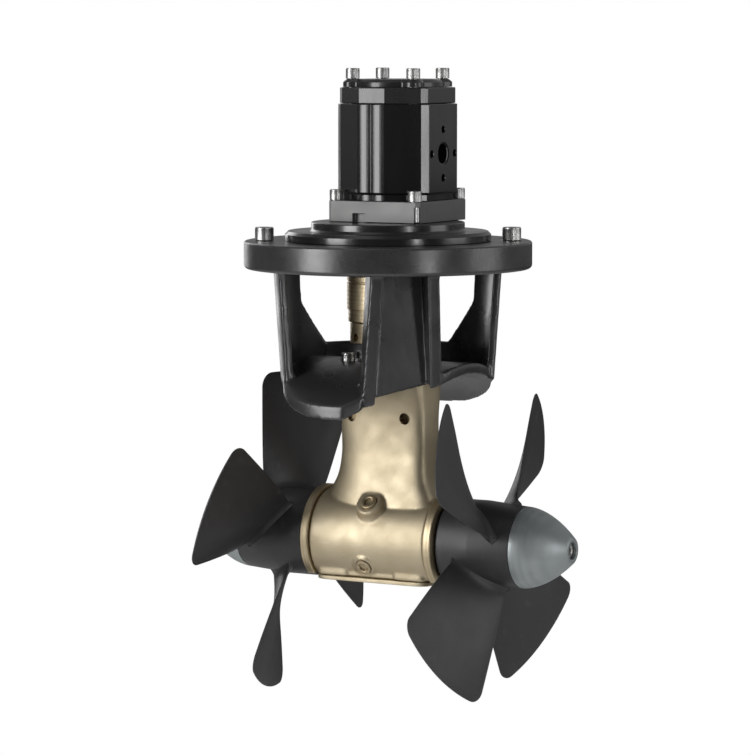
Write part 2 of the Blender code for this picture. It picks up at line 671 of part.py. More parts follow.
def mounting_plate():
    """Square plate between adapter and motor, with a recess and a slotted corner."""
    half = 0.5 * PLATE_SIDE
    centre = MOTOR_OFFSET
    chamfer = ADAPTER_CHAMFER
    outline = []
    for sx, sy in ((1, 1), (-1, 1), (-1, -1), (1, -1)):
        corner = [(sx * half, centre + sy * (half - chamfer)), (sx * (half - chamfer), centre + sy * half)]
        outline += corner if sx == sy else corner[::-1]
    plate = extruded("motor_mounting_plate", outline, PLATE_FOOT, PLATE_TOP, "grey_plate")
    width, depth, height = PLATE_RECESS
    recess = box("recess", (PLATE_RECESS_X - width / 2, centre - half - OVERLAP, PLATE_FOOT - OVERLAP),
                 (PLATE_RECESS_X + width / 2, centre - half + depth, PLATE_FOOT + height))
    slot = cylinder("slot", PLATE_SLOT_RADIUS, PLATE_FOOT - OVERLAP, PLATE_FOOT + 0.75 * PLATE_THICKNESS,
                    sides=SIDES_SCREW)
    place(slot, Matrix.Translation((half - 0.7 * chamfer, centre - half + 0.7 * chamfer, 0)))
    bore = cylinder("bore", ADAPTER_BORE, PLATE_FOOT - OVERLAP, PLATE_TOP + OVERLAP)
    holes = []
    for i, (x, y) in enumerate(plate_bolt_places()):
        hole = cylinder(f"hole {i}", PLATE_BOLT_SHANK + SEAT_GAP, PLATE_FOOT - OVERLAP, PLATE_TOP + OVERLAP,
                        sides=SIDES_SCREW)
        holes.append(place(hole, Matrix.Translation((x, y, 0))))
    return cut(plate, recess, slot, bore, *holes)


def plate_bolts():
    """Four socket screws through the plate corners."""
    for i, (x, y) in enumerate(plate_bolt_places(), 1):
        socket_screw(f"plate_bolt_{i}", PLATE_BOLT_SHANK, PLATE_THICKNESS, PLATE_BOLT_HEAD,
                     PLATE_BOLT_HEAD_HEIGHT, (x, y, PLATE_TOP + SEAT_GAP))


def tie_bolt_places():
    """The plan points of the four tie bolts through the motor."""
    return corners_about_motor(TIE_BOLT_X, TIE_BOLT_Y)


def tie_bolt_holes(foot, top):
    """Cutters for the tie bolts between two levels."""
    holes = []
    for i, (x, y) in enumerate(tie_bolt_places()):
        hole = cylinder(f"tie hole {i}", TIE_BOLT_SHANK + SEAT_GAP, foot, top, sides=SIDES_SCREW)
        holes.append(place(hole, Matrix.Translation((x, y, 0))))
    return holes


def port_cutters(side):
    """The hydraulic port of one side: its bore and four screw holes."""
    level = MOTOR_FOOT + PORT_HEIGHT
    face = BODY_HALF_LENGTH
    cutters = [cylinder(f"port {side}", PORT_BORE, 0, face + OVERLAP, sides=SIDES_SMALL)]
    for i in range(4):
        x, y = polar(PORT_BOLT_CIRCLE, 90.0 * i)
        hole = cylinder(f"port bolt {side} {i}", PORT_BOLT_BORE, face - PORT_BOLT_DEPTH, face + OVERLAP,
                        sides=SIDES_SCREW)
        cutters.append(place(hole, Matrix.Translation((x, y, 0))))
    turn = Matrix.Translation((0, MOTOR_OFFSET, level)) @ along_x(side)
    return [place(cutter, turn) for cutter in cutters]


def motor_body():
    """Faceted gear motor body with a figure-eight gear chamber open at its top."""
    low = motor_outline(BODY_NECK_INSET)
    full = motor_outline()
    neck = MOTOR_FOOT + BODY_NECK_HEIGHT
    levels = [(low, MOTOR_FOOT), (low, neck), (full, neck + OVERLAP), (full, MOTOR_TOP)]
    sections = [[(x, y, z) for x, y in outline] for outline, z in levels]
    body = lofted("motor_body", sections, "black_gloss")
    chambers = []
    for i, y in enumerate((0.0, IDLER_Y)):
        chamber = cylinder(f"chamber {i}", MOTOR_CAVITY_RADIUS, MOTOR_GEAR_FOOT - SEAT_GAP,
                           MOTOR_TOP + OVERLAP)
        chambers.append(place(chamber, Matrix.Translation((0, y, 0))))
    shaft_bore = cylinder("shaft bore", running_bore(MOTOR_SHAFT_RADIUS, SIDES_SMALL),
                          MOTOR_FOOT - OVERLAP, MOTOR_TOP, sides=SIDES_SMALL)
    seal_bore = cylinder("seal bore", MOTOR_SEAL_RADIUS + SEAT_GAP, MOTOR_FOOT - OVERLAP,
                         MOTOR_FOOT + SEAL_HEIGHT + SEAT_GAP)
    journal = cylinder("journal", running_bore(JOURNAL_RADIUS, SIDES_SMALL),
                       MOTOR_GEAR_FOOT - JOURNAL_LENGTH - END_GAP, MOTOR_TOP, sides=SIDES_SMALL)
    place(journal, Matrix.Translation((0, IDLER_Y, 0)))
    cut(body, *chambers, shaft_bore, seal_bore, journal)
    cut(body, *tie_bolt_holes(COVER_TOP - TIE_BOLT_LENGTH - OVERLAP, MOTOR_TOP + OVERLAP))
    cut(body, *port_cutters(1), *port_cutters(-1))
    return smooth(body, 25.0)


def motor_end_cap():
    """Faceted end cap over the gear chamber, bored for the gear journals."""
    low = motor_outline(CAP_INSET)
    high = motor_outline(CAP_INSET + 1.0 * MM)
    levels = [(low, CAP_FOOT), (low, CAP_TOP - 1.0 * MM), (high, CAP_TOP)]
    sections = [[(x, y, z) for x, y in outline] for outline, z in levels]
    cap = lofted("motor_end_cap", sections, "black_gloss")
    bores = []
    for i, y in enumerate((0.0, IDLER_Y)):
        bore = cylinder(f"journal {i}", running_bore(JOURNAL_RADIUS, SIDES_SMALL), CAP_FOOT - OVERLAP,
                        MOTOR_GEAR_TOP + JOURNAL_LENGTH + END_GAP, sides=SIDES_SMALL)
        bores.append(place(bore, Matrix.Translation((0, y, 0))))
    return smooth(cut(cap, *bores, *tie_bolt_holes(CAP_FOOT - OVERLAP, CAP_TOP + OVERLAP)), 25.0)


def cover_outline(inset):
    """A circle with four ears round the tie bolts: along each ray the farther of the
    circle and any ear's edge."""
    outline = []
    for i in range(SIDES_COVER):
        x, y = polar(1.0, 360.0 * (i + 0.5) / SIDES_COVER)
        reach = COVER_RADIUS
        for bolt_x, bolt_y in tie_bolt_places():
            along = bolt_x * x + (bolt_y - MOTOR_OFFSET) * y
            off = bolt_x * y - (bolt_y - MOTOR_OFFSET) * x
            if along > 0 and abs(off) < COVER_EAR_RADIUS:
                reach = max(reach, along + math.sqrt(COVER_EAR_RADIUS ** 2 - off ** 2))
        outline.append(((reach - inset) * x, MOTOR_OFFSET + (reach - inset) * y))
    return outline


def motor_end_cover():
    """Round raised cover on the cap, with four ears for the tie bolts."""
    chamfer = 1.5 * MM
    levels = [(0.0, COVER_FOOT), (0.0, COVER_TOP - chamfer), (chamfer, COVER_TOP)]
    sections = [[(x, y, z) for x, y in cover_outline(inset)] for inset, z in levels]
    cover = lofted("motor_end_cover", sections, "black_gloss")
    return smooth(cut(cover, *tie_bolt_holes(COVER_FOOT - OVERLAP, COVER_TOP + OVERLAP)))


def tie_bolts():
    """Four long screws that hold cover, cap and body together."""
    for i, (x, y) in enumerate(tie_bolt_places(), 1):
        socket_screw(f"tie_bolt_{i}", TIE_BOLT_SHANK, TIE_BOLT_LENGTH, TIE_BOLT_HEAD,
                     TIE_BOLT_HEAD_HEIGHT, (x, y, COVER_TOP + SEAT_GAP))


# Gears


def involute(angle):
    """The involute function tan(a) - a."""
    return math.tan(angle) - angle


def tooth_half_angle(radius, pitch_radius, teeth, backlash):
    """Half the angle that an involute tooth takes at a radius, seen from its centre."""
    base = pitch_radius * math.cos(PRESSURE_ANGLE)
    pressure = math.acos(min(1.0, base / max(radius, base)))
    half = math.pi / (2 * teeth) - backlash / (2 * pitch_radius)
    return half + involute(PRESSURE_ANGLE) - involute(pressure)


def tooth_outline(pitch_radius, teeth, module, backlash, addendum):
    """One tooth as (radius, angle) points from its first root to its last, round its tip.
    The flank of a large gear is so nearly straight that it needs no middle point."""
    root = pitch_radius - 1.25 * module
    tip = pitch_radius + addendum * module
    flank = [root, pitch_radius, tip] if teeth < 40 else [root, tip]
    rising = [(r, -tooth_half_angle(r, pitch_radius, teeth, backlash)) for r in flank]
    return rising + [(r, -a) for r, a in rising[::-1]]


def spur_gear(name, phase, foot, top, coat="steel"):
    """A motor gear about Z, with a tooth centred on the phase angle."""
    pitch_radius = MOTOR_OFFSET
    outline = []
    for k in range(MOTOR_TEETH):
        centre = phase + 2 * math.pi * k / MOTOR_TEETH
        for r, a in tooth_outline(pitch_radius, MOTOR_TEETH, MOTOR_MODULE, MOTOR_GEAR_GAP, 0.8):
            outline.append((r * math.cos(centre + a), r * math.sin(centre + a)))
    return extruded(name, outline, foot, top, coat)


def circle(radius, height, count):
    """A ring of points about Z."""
    return [(*polar(radius, 360.0 * i / count), height) for i in range(count)]


def bridge(shape, low, high):
    """Fills the band between two rings of unequal counts with triangles, stepping round
    both and each time along the one whose next point comes first."""
    def azimuths(ring_points):
        turns = [math.atan2(v.co.y, v.co.x) % (2 * math.pi) for v in ring_points]
        start = turns.index(min(turns))
        turns = turns[start:] + turns[:start]
        return ring_points[start:] + ring_points[:start], turns + [turns[0] + 2 * math.pi]

    (low, low_turns), (high, high_turns) = azimuths(low), azimuths(high)
    i = j = 0
    while i < len(low) or j < len(high):
        a, b = low[i % len(low)], high[j % len(high)]
        on_low = j == len(high) or (i < len(low) and low_turns[i + 1] < high_turns[j + 1])
        if on_low:
            i += 1
            shape.faces.new((a, low[i % len(low)], b))
        else:
            j += 1
            shape.faces.new((a, high[j % len(high)], b))


def bevel_gear(name, teeth, mate_teeth, phase, bore, hub_radius, hub_end, coat="steel"):
    """A straight bevel gear about Z with its cone apex at the origin. Each tooth is an
    involute on the back cone, drawn in towards the apex over the face width."""
    cone = math.atan2(teeth, mate_teeth)
    distance = 0.5 * BEVEL_MODULE * math.hypot(teeth, mate_teeth)
    virtual_radius = distance * math.tan(cone)
    virtual_teeth = teeth / math.cos(cone)
    outline = tooth_outline(virtual_radius, virtual_teeth, BEVEL_MODULE, BEVEL_BACKLASH, BEVEL_ADDENDUM)
    loops = []
    for scale in ((distance - BEVEL_FACE) / distance, 1.0):
        loop = []
        for k in range(teeth):
            centre = phase + 2 * math.pi * k / teeth
            for r, a in outline:
                turn = centre + a / math.cos(cone)
                radius = scale * r * math.cos(cone)
                height = scale * (distance / math.cos(cone) - r * math.sin(cone))
                loop.append((radius * math.cos(turn), radius * math.sin(turn), height))
        loops.append(loop)
    inner_root = max(point[2] for point in loops[0])
    outer_root = max(point[2] for point in loops[1])
    small_end = inner_root - 0.3 * (inner_root - min(point[2] for point in loops[0]))
    rings = [
        circle(bore, small_end, SIDES_SMALL), *loops, circle(hub_radius, outer_root + OVERLAP, SIDES_SMALL),
        circle(hub_radius, hub_end, SIDES_SMALL), circle(bore, hub_end, SIDES_SMALL),
    ]
    shape = bmesh.new()
    made = [[shape.verts.new(point) for point in points] for points in rings]
    for low, high in zip(made, made[1:] + made[:1]):
        if len(low) == len(high):
            for i in range(len(low)):
                j = (i + 1) % len(low)
                shape.faces.new((low[i], low[j], high[j], high[i]))
        else:
            bridge(shape, low, high)
    return from_bmesh(name, shape, coat)


def motor_gears():
    """The drive gear on the motor shaft and the idler that meshes with it."""
    drive = spur_gear("motor_drive_gear", math.pi / 2, MOTOR_GEAR_FOOT, MOTOR_GEAR_TOP)
    cut(drive, cylinder("bore", MOTOR_SHAFT_RADIUS + SEAT_GAP, MOTOR_GEAR_FOOT - OVERLAP,
                        MOTOR_GEAR_TOP + OVERLAP, sides=SIDES_SMALL))
    half_pitch = math.pi / MOTOR_TEETH
    idler = spur_gear("motor_idler_gear", -math.pi / 2 + half_pitch, MOTOR_GEAR_FOOT, MOTOR_GEAR_TOP)
    join(idler, cylinder("journals", JOURNAL_RADIUS, MOTOR_GEAR_FOOT - JOURNAL_LENGTH,
                         MOTOR_GEAR_TOP + JOURNAL_LENGTH, sides=SIDES_SMALL))
    idler.location = (0, IDLER_Y, 0)


def motor_shaft():
    """The motor's output shaft, from its top journal down into the coupling."""
    foot = UPPER_HUB_TOP - SHAFT_ENTRY
    profile = [
        (0, foot), (MOTOR_SHAFT_RADIUS - OVERLAP, foot), (MOTOR_SHAFT_RADIUS, foot + OVERLAP),
        (MOTOR_SHAFT_RADIUS, MOTOR_GEAR_TOP), (JOURNAL_RADIUS, MOTOR_GEAR_TOP),
        (JOURNAL_RADIUS, MOTOR_GEAR_TOP + JOURNAL_LENGTH), (0, MOTOR_GEAR_TOP + JOURNAL_LENGTH),
    ]
    return smooth(turned("motor_shaft", profile, "steel", SIDES_SMALL))


def motor_shaft_seal():
    """Lip seal in the foot of the motor body."""
    return smooth(ring("motor_shaft_seal", running_bore(MOTOR_SHAFT_RADIUS, SIDES_SMALL), MOTOR_SEAL_RADIUS,
                       MOTOR_FOOT + SEAT_GAP, MOTOR_FOOT + SEAL_HEIGHT, "rubber", SIDES_SMALL))


# Flexible coupling


def wedge(name, inner, outer, start, stop, foot, top, steps=4):
    """A sector of a ring between two azimuths."""
    azimuths = [start + (stop - start) * i / steps for i in range(steps + 1)]
    outline = [polar(inner, a) for a in azimuths] + [polar(outer, a) for a in azimuths[::-1]]
    return extruded(name, outline[::-1], foot, top)


def coupling_hub(name, body, jaw_from, jaw_to, first_jaw, jaw_radius, bore):
    """A coupling half: a turned hub with three jaws and one radial set screw hole."""
    hub = turned(name, body, "coupling_bronze", SIDES_MEDIUM)
    jaws = []
    for i in range(JAW_COUNT):
        middle = first_jaw + 360.0 * i / JAW_COUNT
        jaws.append(wedge(f"jaw {i}", JAW_INNER_RADIUS, jaw_radius, middle - JAW_HALF_ANGLE,
                          middle + JAW_HALF_ANGLE, jaw_from, jaw_to))
    join(hub, *jaws)
    level = 0.5 * (body[0][1] + body[-1][1])
    screw_hole = place(cylinder("set screw hole", SET_SCREW_RADIUS, 0, 2 * UPPER_HUB_RADIUS, sides=12),
                       Matrix.Translation((0, 0, level)) @ along_x(-1))
    turn = Matrix.Rotation(math.radians(first_jaw), 4, "Z")
    place(screw_hole, turn)
    shaft_bore = cylinder("bore", bore, body[0][1] - OVERLAP, body[-1][1] + OVERLAP, sides=SIDES_SMALL)
    cut(hub, shaft_bore, screw_hole)
    return smooth(hub)


def coupling():
    """Upper hub on the motor shaft, lower hub on the input shaft, and the rubber
    spider whose legs fill the spaces between their jaws."""
    corner = 1.5 * MM
    jaw_foot = LOWER_HUB_TOP + SEAT_GAP
    jaw_top = UPPER_HUB_FOOT - SEAT_GAP
    upper = [
        (0, UPPER_HUB_FOOT), (UPPER_HUB_RADIUS, UPPER_HUB_FOOT), (UPPER_HUB_RADIUS, UPPER_HUB_TOP - corner),
        (UPPER_HUB_RADIUS - corner, UPPER_HUB_TOP), (0, UPPER_HUB_TOP),
    ]
    collar = LOWER_HUB_FOOT - LOWER_COLLAR_HEIGHT
    lower = [
        (0, collar), (LOWER_COLLAR_RADIUS, collar), (LOWER_COLLAR_RADIUS, LOWER_HUB_FOOT),
        (LOWER_HUB_RADIUS, LOWER_HUB_FOOT), (LOWER_HUB_RADIUS, LOWER_HUB_TOP), (0, LOWER_HUB_TOP),
    ]
    coupling_hub("coupling_upper_hub", upper, jaw_foot, UPPER_HUB_FOOT + OVERLAP, 0.0,
                 UPPER_HUB_RADIUS - OVERLAP, MOTOR_SHAFT_RADIUS + SEAT_GAP)
    coupling_hub("coupling_lower_hub", lower, LOWER_HUB_TOP - OVERLAP, jaw_top, 180.0 / JAW_COUNT,
                 LOWER_HUB_RADIUS - 0.5 * OVERLAP, SHAFT_RADIUS + SEAT_GAP)
    spider_inner = 0.55 * JAW_INNER_RADIUS
    foot = jaw_foot + SEAT_GAP
    top = jaw_top - SEAT_GAP
    spider = ring("coupling_spider", spider_inner, JAW_INNER_RADIUS - SEAT_GAP, foot, top, "rubber",
                  SIDES_SMALL)
    legs = []
    space = 180.0 / JAW_COUNT
    half_space = 0.5 * space - JAW_HALF_ANGLE
    for i in range(2 * JAW_COUNT):
        middle = space * (i + 0.5)
        slack = math.degrees(SEAT_GAP / JAW_INNER_RADIUS)
        legs.append(wedge(f"leg {i}", JAW_INNER_RADIUS - 2 * OVERLAP, LOWER_HUB_RADIUS - 2 * OVERLAP,
                          middle - half_space + slack, middle + half_space - slack, foot, top, 1))
    return join(spider, *legs)


# Input shaft and its bearings


def input_shaft():
    """The vertical shaft from the lower coupling hub to the pinion."""
    shoulder = LOWER_BEARING_FOOT - END_GAP
    stub_foot = 0.5 * BEVEL_MODULE * CROWN_TEETH - BEVEL_FACE - 1.5 * MM
    top = LOWER_HUB_TOP - OVERLAP
    profile = [
        (0, stub_foot), (SHAFT_STUB_RADIUS, stub_foot), (SHAFT_STUB_RADIUS, shoulder),
        (SHAFT_RADIUS, shoulder), (SHAFT_RADIUS, top - OVERLAP), (SHAFT_RADIUS - OVERLAP, top), (0, top),
    ]
    return smooth(turned("input_shaft", profile, "steel", SIDES_SMALL))


def input_pinion():
    """Bevel pinion on the foot of the input shaft."""
    hub_end = LOWER_BEARING_FOOT - END_GAP - SEAT_GAP
    return bevel_gear("input_pinion", PINION_TEETH, CROWN_TEETH, 0.0, SHAFT_STUB_RADIUS + SEAT_GAP,
                      PINION_HUB_RADIUS, hub_end)


def bearing(name, inner, outer, foot, width, sides=SIDES_SMALL):
    """A sealed ball bearing about Z, as one ring."""
    return ring(name, inner, outer, foot, foot + width, "steel", sides)


def input_bearings():
    """The two bearings and the seal of the input shaft."""
    bore = running_bore(SHAFT_RADIUS, SIDES_SMALL)
    for name, foot in (("lower", LOWER_BEARING_FOOT), ("upper", UPPER_BEARING_FOOT)):
        smooth(bearing(f"input_{name}_bearing", bore, BEARING_RADIUS, foot, BEARING_WIDTH))
    foot = UPPER_BEARING_FOOT + BEARING_WIDTH + SEAT_GAP
    return smooth(ring("input_shaft_seal", bore, BEARING_RADIUS, foot,
                       foot + SEAL_HEIGHT, "rubber", SIDES_SMALL))


# Gear leg


def leg_sections():
    """The leg's loft as (level, half chord, half thickness), from inside the hub up."""
    chord, slim, pad = LEG_HALF_CHORD, LEG_HALF_THICKNESS, LEG_PAD_HALF_THICKNESS
    hub = HUB_RADIUS
    flare = HUB_HALF_LENGTH - LEG_FLARE_INSET
    pad_foot = SADDLE_RADIUS - LEG_PAD_DEPTH
    return [
        (0.50 * hub, flare, 0.72 * hub),
        (0.95 * hub, flare - LEG_FLARE_INSET, 0.66 * hub),
        (1.28 * hub, 0.7 * chord + 0.3 * flare, 0.57 * hub),
        (hub + LEG_FLARE_HEIGHT, chord, slim),
        (pad_foot - LEG_PAD_TAPER, chord, slim),
        (pad_foot, chord, pad),
        (1.10 * LEG_TOP_RADIUS, chord, pad),
    ]


def gear_leg():
    """Bronze gear leg: a slim strut that flares into the gear hub, bored for the input
    shaft and both propeller shafts, with a foot, a filler boss and a shaft spigot."""
    sections = []
    for level, half_x, half_y in leg_sections():
        outline = superellipse(half_x, half_y, LEG_SQUARENESS, SIDES_MEDIUM)
        sections.append([(x, y, level) for x, y in outline])
    leg = lofted("gear_leg", sections, "bronze")
    keep(leg, tunnel_bar("leg top", LEG_TOP_RADIUS))
    ease = 1.5 * MM
    hub = place(turned("hub", [
        (0, -HUB_HALF_LENGTH), (HUB_RADIUS, -HUB_HALF_LENGTH), (HUB_RADIUS, HUB_HALF_LENGTH),
        (0, HUB_HALF_LENGTH),
    ], sides=SIDES_MEDIUM), along_x())
    foot_outline = superellipse(HUB_HALF_LENGTH - ease, FOOT_HALF_WIDTH, FOOT_SQUARENESS, SIDES_MEDIUM)
    foot = extruded("foot", foot_outline, FOOT_LEVEL, FOOT_TOP)
    spigot = cylinder("spigot", LEG_SPIGOT_RADIUS, LEG_TOP_RADIUS - 6 * OVERLAP, LEG_SPIGOT_TOP)
    boss = cylinder("boss", PLUG_BOSS_RADIUS, 0.5 * HUB_RADIUS, PLUG_BOSS_REACH, sides=SIDES_SMALL)
    place(boss, Matrix.Rotation(math.radians(PLUG_BOSS_TILT), 4, "X"))
    join(leg, hub, foot, spigot, boss)
    below = box("below the foot", (-2 * HUB_RADIUS, -2 * HUB_RADIUS, -2 * HUB_RADIUS),
                (2 * HUB_RADIUS, 2 * HUB_RADIUS, FOOT_LEVEL))
    reach = HUB_HALF_LENGTH + OVERLAP
    cavity = place(cylinder("cavity", HUB_CAVITY_RADIUS, -reach, reach), along_x())
    floor = box("cavity floor", (-2 * HUB_RADIUS, -HUB_RADIUS, -HUB_RADIUS),
                (2 * HUB_RADIUS, HUB_RADIUS, FOOT_LEVEL + SUMP_COVER_THICKNESS))
    cut(cavity, floor)
    shaft_bore = cylinder("shaft bore", 1.35 * SHAFT_RADIUS, 0, LEG_SPIGOT_TOP + OVERLAP, sides=SIDES_SMALL)
    lower = cylinder("lower bearing bore", BEARING_RADIUS + SEAT_GAP, 0,
                     LOWER_BEARING_FOOT + BEARING_WIDTH + SEAT_GAP, sides=SIDES_SMALL)
    upper = cylinder("upper bearing bore", BEARING_RADIUS + SEAT_GAP, UPPER_BEARING_FOOT - SEAT_GAP,
                     LEG_SPIGOT_TOP + OVERLAP, sides=SIDES_SMALL)
    cut(leg, below, cavity, shaft_bore, lower, upper)
    cutters = []
    bolt_foot = LEG_TOP_RADIUS - LEG_BOLT_DEPTH - 3 * OVERLAP
    for i, (x, y) in enumerate(leg_bolt_places()):
        hole = cylinder(f"bolt hole {i}", LEG_BOLT_SHANK + SEAT_GAP, bolt_foot, LEG_SPIGOT_TOP,
                        sides=SIDES_SCREW)
        cutters.append(place(hole, Matrix.Translation((x, y, 0))))
    hole_foot = LEG_HALF_THICKNESS - LEG_SCREW_HOLE_DEPTH
    for side in (-1, 1):
        hole = cylinder(f"screw hole {side}", LEG_SCREW_HOLE_RADIUS, hole_foot, 2 * LEG_HALF_THICKNESS,
                        sides=SIDES_SCREW)
        turn = Matrix.Rotation(math.pi / 2, 4, "X")
        at = (side * LEG_SCREW_HOLE_X, 0, SADDLE_RADIUS - LEG_SCREW_HOLE_DROP)
        cutters.append(place(hole, Matrix.Translation(at) @ turn))
    filler = cylinder("filler", PLUG_RADIUS + SEAT_GAP, PLUG_BOSS_REACH - PLUG_LENGTH - SEAT_GAP,
                      PLUG_BOSS_REACH + OVERLAP, sides=SIDES_SCREW)
    cutters.append(place(filler, Matrix.Rotation(math.radians(PLUG_BOSS_TILT), 4, "X")))
    drain = cylinder("drain", PLUG_RADIUS + SEAT_GAP, HUB_RADIUS - PLUG_LENGTH - SEAT_GAP,
                     HUB_RADIUS + 4 * OVERLAP, sides=SIDES_SCREW)
    cutters.append(place(drain, drain_turn()))
    cut(leg, *cutters)
    return smooth(leg)


def drain_turn():
    """Places a shape made along +Z on the drain plug's axis, down and to the near side."""
    tilt = math.radians(90.0 + DRAIN_TILT)
    return Matrix.Translation((DRAIN_X, 0, 0)) @ Matrix.Rotation(tilt, 4, "X")


def plug(name, reach, turn):
    """A socket plug whose head stands a little proud of its boss."""
    profile = [
        (0, reach - PLUG_LENGTH), (PLUG_RADIUS, reach - PLUG_LENGTH), (PLUG_RADIUS, reach + OVERLAP),
        (PLUG_RADIUS - OVERLAP, reach + 2 * OVERLAP), (0, reach + 2 * OVERLAP),
    ]
    made = turned(name, profile, "bronze", SIDES_SCREW)
    cut(made, cylinder("socket", 0.5 * PLUG_RADIUS, reach - 0.5 * PLUG_LENGTH, reach + PLUG_LENGTH, sides=6))
    return smooth(place(made, turn))


def saddle_gasket():
    """Curved gasket between the leg pad and the saddle, with the leg's outline."""
    outline = superellipse(LEG_HALF_CHORD, LEG_PAD_HALF_THICKNESS, LEG_SQUARENESS, SIDES_MEDIUM)
    gasket = extruded("saddle_gasket", outline, 0.8 * SADDLE_RADIUS, 1.1 * SADDLE_RADIUS, "rubber")
    keep(gasket, tunnel_bar("gasket top", SEAT_RADIUS))
    cutters = [tunnel_bar("gasket foot", SEAT_RADIUS - GASKET_THICKNESS)]
    cutters.append(cylinder("spigot hole", LEG_SPIGOT_RADIUS + SEAT_GAP, 0, 2 * SADDLE_RADIUS))
    for i, (x, y) in enumerate(leg_bolt_places()):
        hole = cylinder(f"hole {i}", LEG_BOLT_SHANK + SEAT_GAP, 0, 2 * SADDLE_RADIUS, sides=SIDES_SCREW)
        cutters.append(place(hole, Matrix.Translation((x, y, 0))))
    return cut(gasket, *cutters)


def sump_cover():
    """Flat cover under the hub's foot."""
    outline = superellipse(HUB_HALF_LENGTH - OVERLAP, FOOT_HALF_WIDTH + OVERLAP, FOOT_SQUARENESS,
                           SIDES_MEDIUM)
    top = FOOT_LEVEL - SEAT_GAP
    return extruded("sump_cover", outline, top - SUMP_COVER_THICKNESS, top, "bronze")


# One side of the hub: side is 1 on the right and -1 on the left


def bearing_carrier(name, side):
    """Carrier that closes one end of the hub and holds its bearing and shaft seal."""
    foot = CARRIER_FACE
    face = CARRIER_OUTER_FACE
    seal_foot = face - SHAFT_SEAL_WIDTH
    bearing_top = foot + HUB_BEARING_WIDTH + SEAT_GAP
    body = HUB_CAVITY_RADIUS - SEAT_GAP
    flange_foot = HUB_HALF_LENGTH + SEAT_GAP
    ease = 1.5 * MM
    profile = [
        (HUB_BEARING_RADIUS + SEAT_GAP, foot), (body, foot), (body, flange_foot),
        (CARRIER_FLANGE_RADIUS - ease, flange_foot), (CARRIER_FLANGE_RADIUS, flange_foot + ease),
        (CARRIER_FLANGE_RADIUS, face - ease), (CARRIER_FLANGE_RADIUS - ease, face),
        (SHAFT_SEAL_RADIUS + SEAT_GAP, face), (SHAFT_SEAL_RADIUS + SEAT_GAP, seal_foot),
        (PROP_SHAFT_RADIUS + 2 * OVERLAP, seal_foot), (PROP_SHAFT_RADIUS + 2 * OVERLAP, bearing_top),
        (HUB_BEARING_RADIUS + SEAT_GAP, bearing_top),
    ]
    carrier = turned(f"{name}_bearing_carrier", profile, "bronze", SIDES_MEDIUM)
    wide = 2 * HUB_RADIUS
    level = FOOT_LEVEL - SEAT_GAP
    flat = box("flat", (-wide, -wide, 0), (level, wide, 2 * face))
    place(flat, Matrix.Rotation(math.pi, 4, "Z"))
    floor = FOOT_LEVEL + SUMP_COVER_THICKNESS + SEAT_GAP
    inner_flat = box("inner flat", (level, -wide, 0), (floor, wide, flange_foot))
    place(inner_flat, Matrix.Rotation(math.pi, 4, "Z"))
    cut(carrier, flat, inner_flat)
    if side < 0:
        place(carrier, Matrix.Rotation(math.pi, 4, "Z"))
    return smooth(place(carrier, along_x(side)))


def propeller_shaft(name, side):
    """Shaft from its crown gear out through the propeller to the retaining nut."""
    inner = 0.5 * CROWN_BACK
    thread = PROP_END - NUT_HEIGHT
    end = PROP_END + 0.5 * NOSE_SOCKET_DEPTH
    profile = [
        (0, inner), (PROP_SHAFT_RADIUS, inner), (PROP_SHAFT_RADIUS, thread),
        (PROP_SHAFT_THREAD_RADIUS, thread), (PROP_SHAFT_THREAD_RADIUS, end), (0, end),
    ]
    shaft = turned(f"{name}_propeller_shaft", profile, "steel", SIDES_SMALL)
    pin = cylinder("pin hole", DRIVE_PIN_RADIUS + SEAT_GAP, -DRIVE_PIN_LENGTH, DRIVE_PIN_LENGTH, sides=12)
    place(pin, Matrix.Translation((0, 0, pin_station())) @ along_x())
    bore = cylinder("screw bore", NOSE_SCREW_RADIUS + SEAT_GAP, end - NOSE_SCREW_GRIP - 2 * OVERLAP,
                    end + OVERLAP, sides=SIDES_SCREW)
    return smooth(place(cut(shaft, pin, bore), along_x(side)))


def pin_station():
    """How far along its shaft the drive pin crosses it."""
    return PROP_FACE + 0.28 * PROP_HUB_LENGTH


def drive_pin(name, side):
    """Pin across the shaft that turns the propeller."""
    half = 0.5 * DRIVE_PIN_LENGTH
    pin = cylinder(f"{name}_drive_pin", DRIVE_PIN_RADIUS, -half, half, "stainless", 12)
    place(pin, Matrix.Translation((0, 0, pin_station())) @ along_x())
    return smooth(place(pin, along_x(side)))


def crown_gear(name, side):
    """Crown gear that meshes with the pinion at its top and drives one shaft."""
    half_pitch = math.pi / CROWN_TEETH
    gear = bevel_gear(f"{name}_crown_gear", CROWN_TEETH, PINION_TEETH, half_pitch,
                      PROP_SHAFT_RADIUS + SEAT_GAP, CROWN_HUB_RADIUS, CROWN_BACK)
    return place(gear, along_x(side))


def blade_point(radius, chord_place, side, azimuth):
    """A point on the blade's mean helix. The chord place runs along the helix from the
    blade's middle, and the pitch angle falls with radius as atan(pitch / 2 pi r)."""
    pitch_angle = math.atan(BLADE_PITCH / (2 * math.pi * radius))
    turn = math.radians(azimuth) + chord_place * math.cos(pitch_angle) / radius
    advance = side * chord_place * math.sin(pitch_angle)
    point = Vector((side * BLADE_STATION + advance, -radius * math.sin(turn), radius * math.cos(turn)))
    across = Vector((0, -math.cos(turn), -math.sin(turn)))
    normal = Vector((math.cos(pitch_angle), 0, 0)) - side * math.sin(pitch_angle) * across
    return point, normal


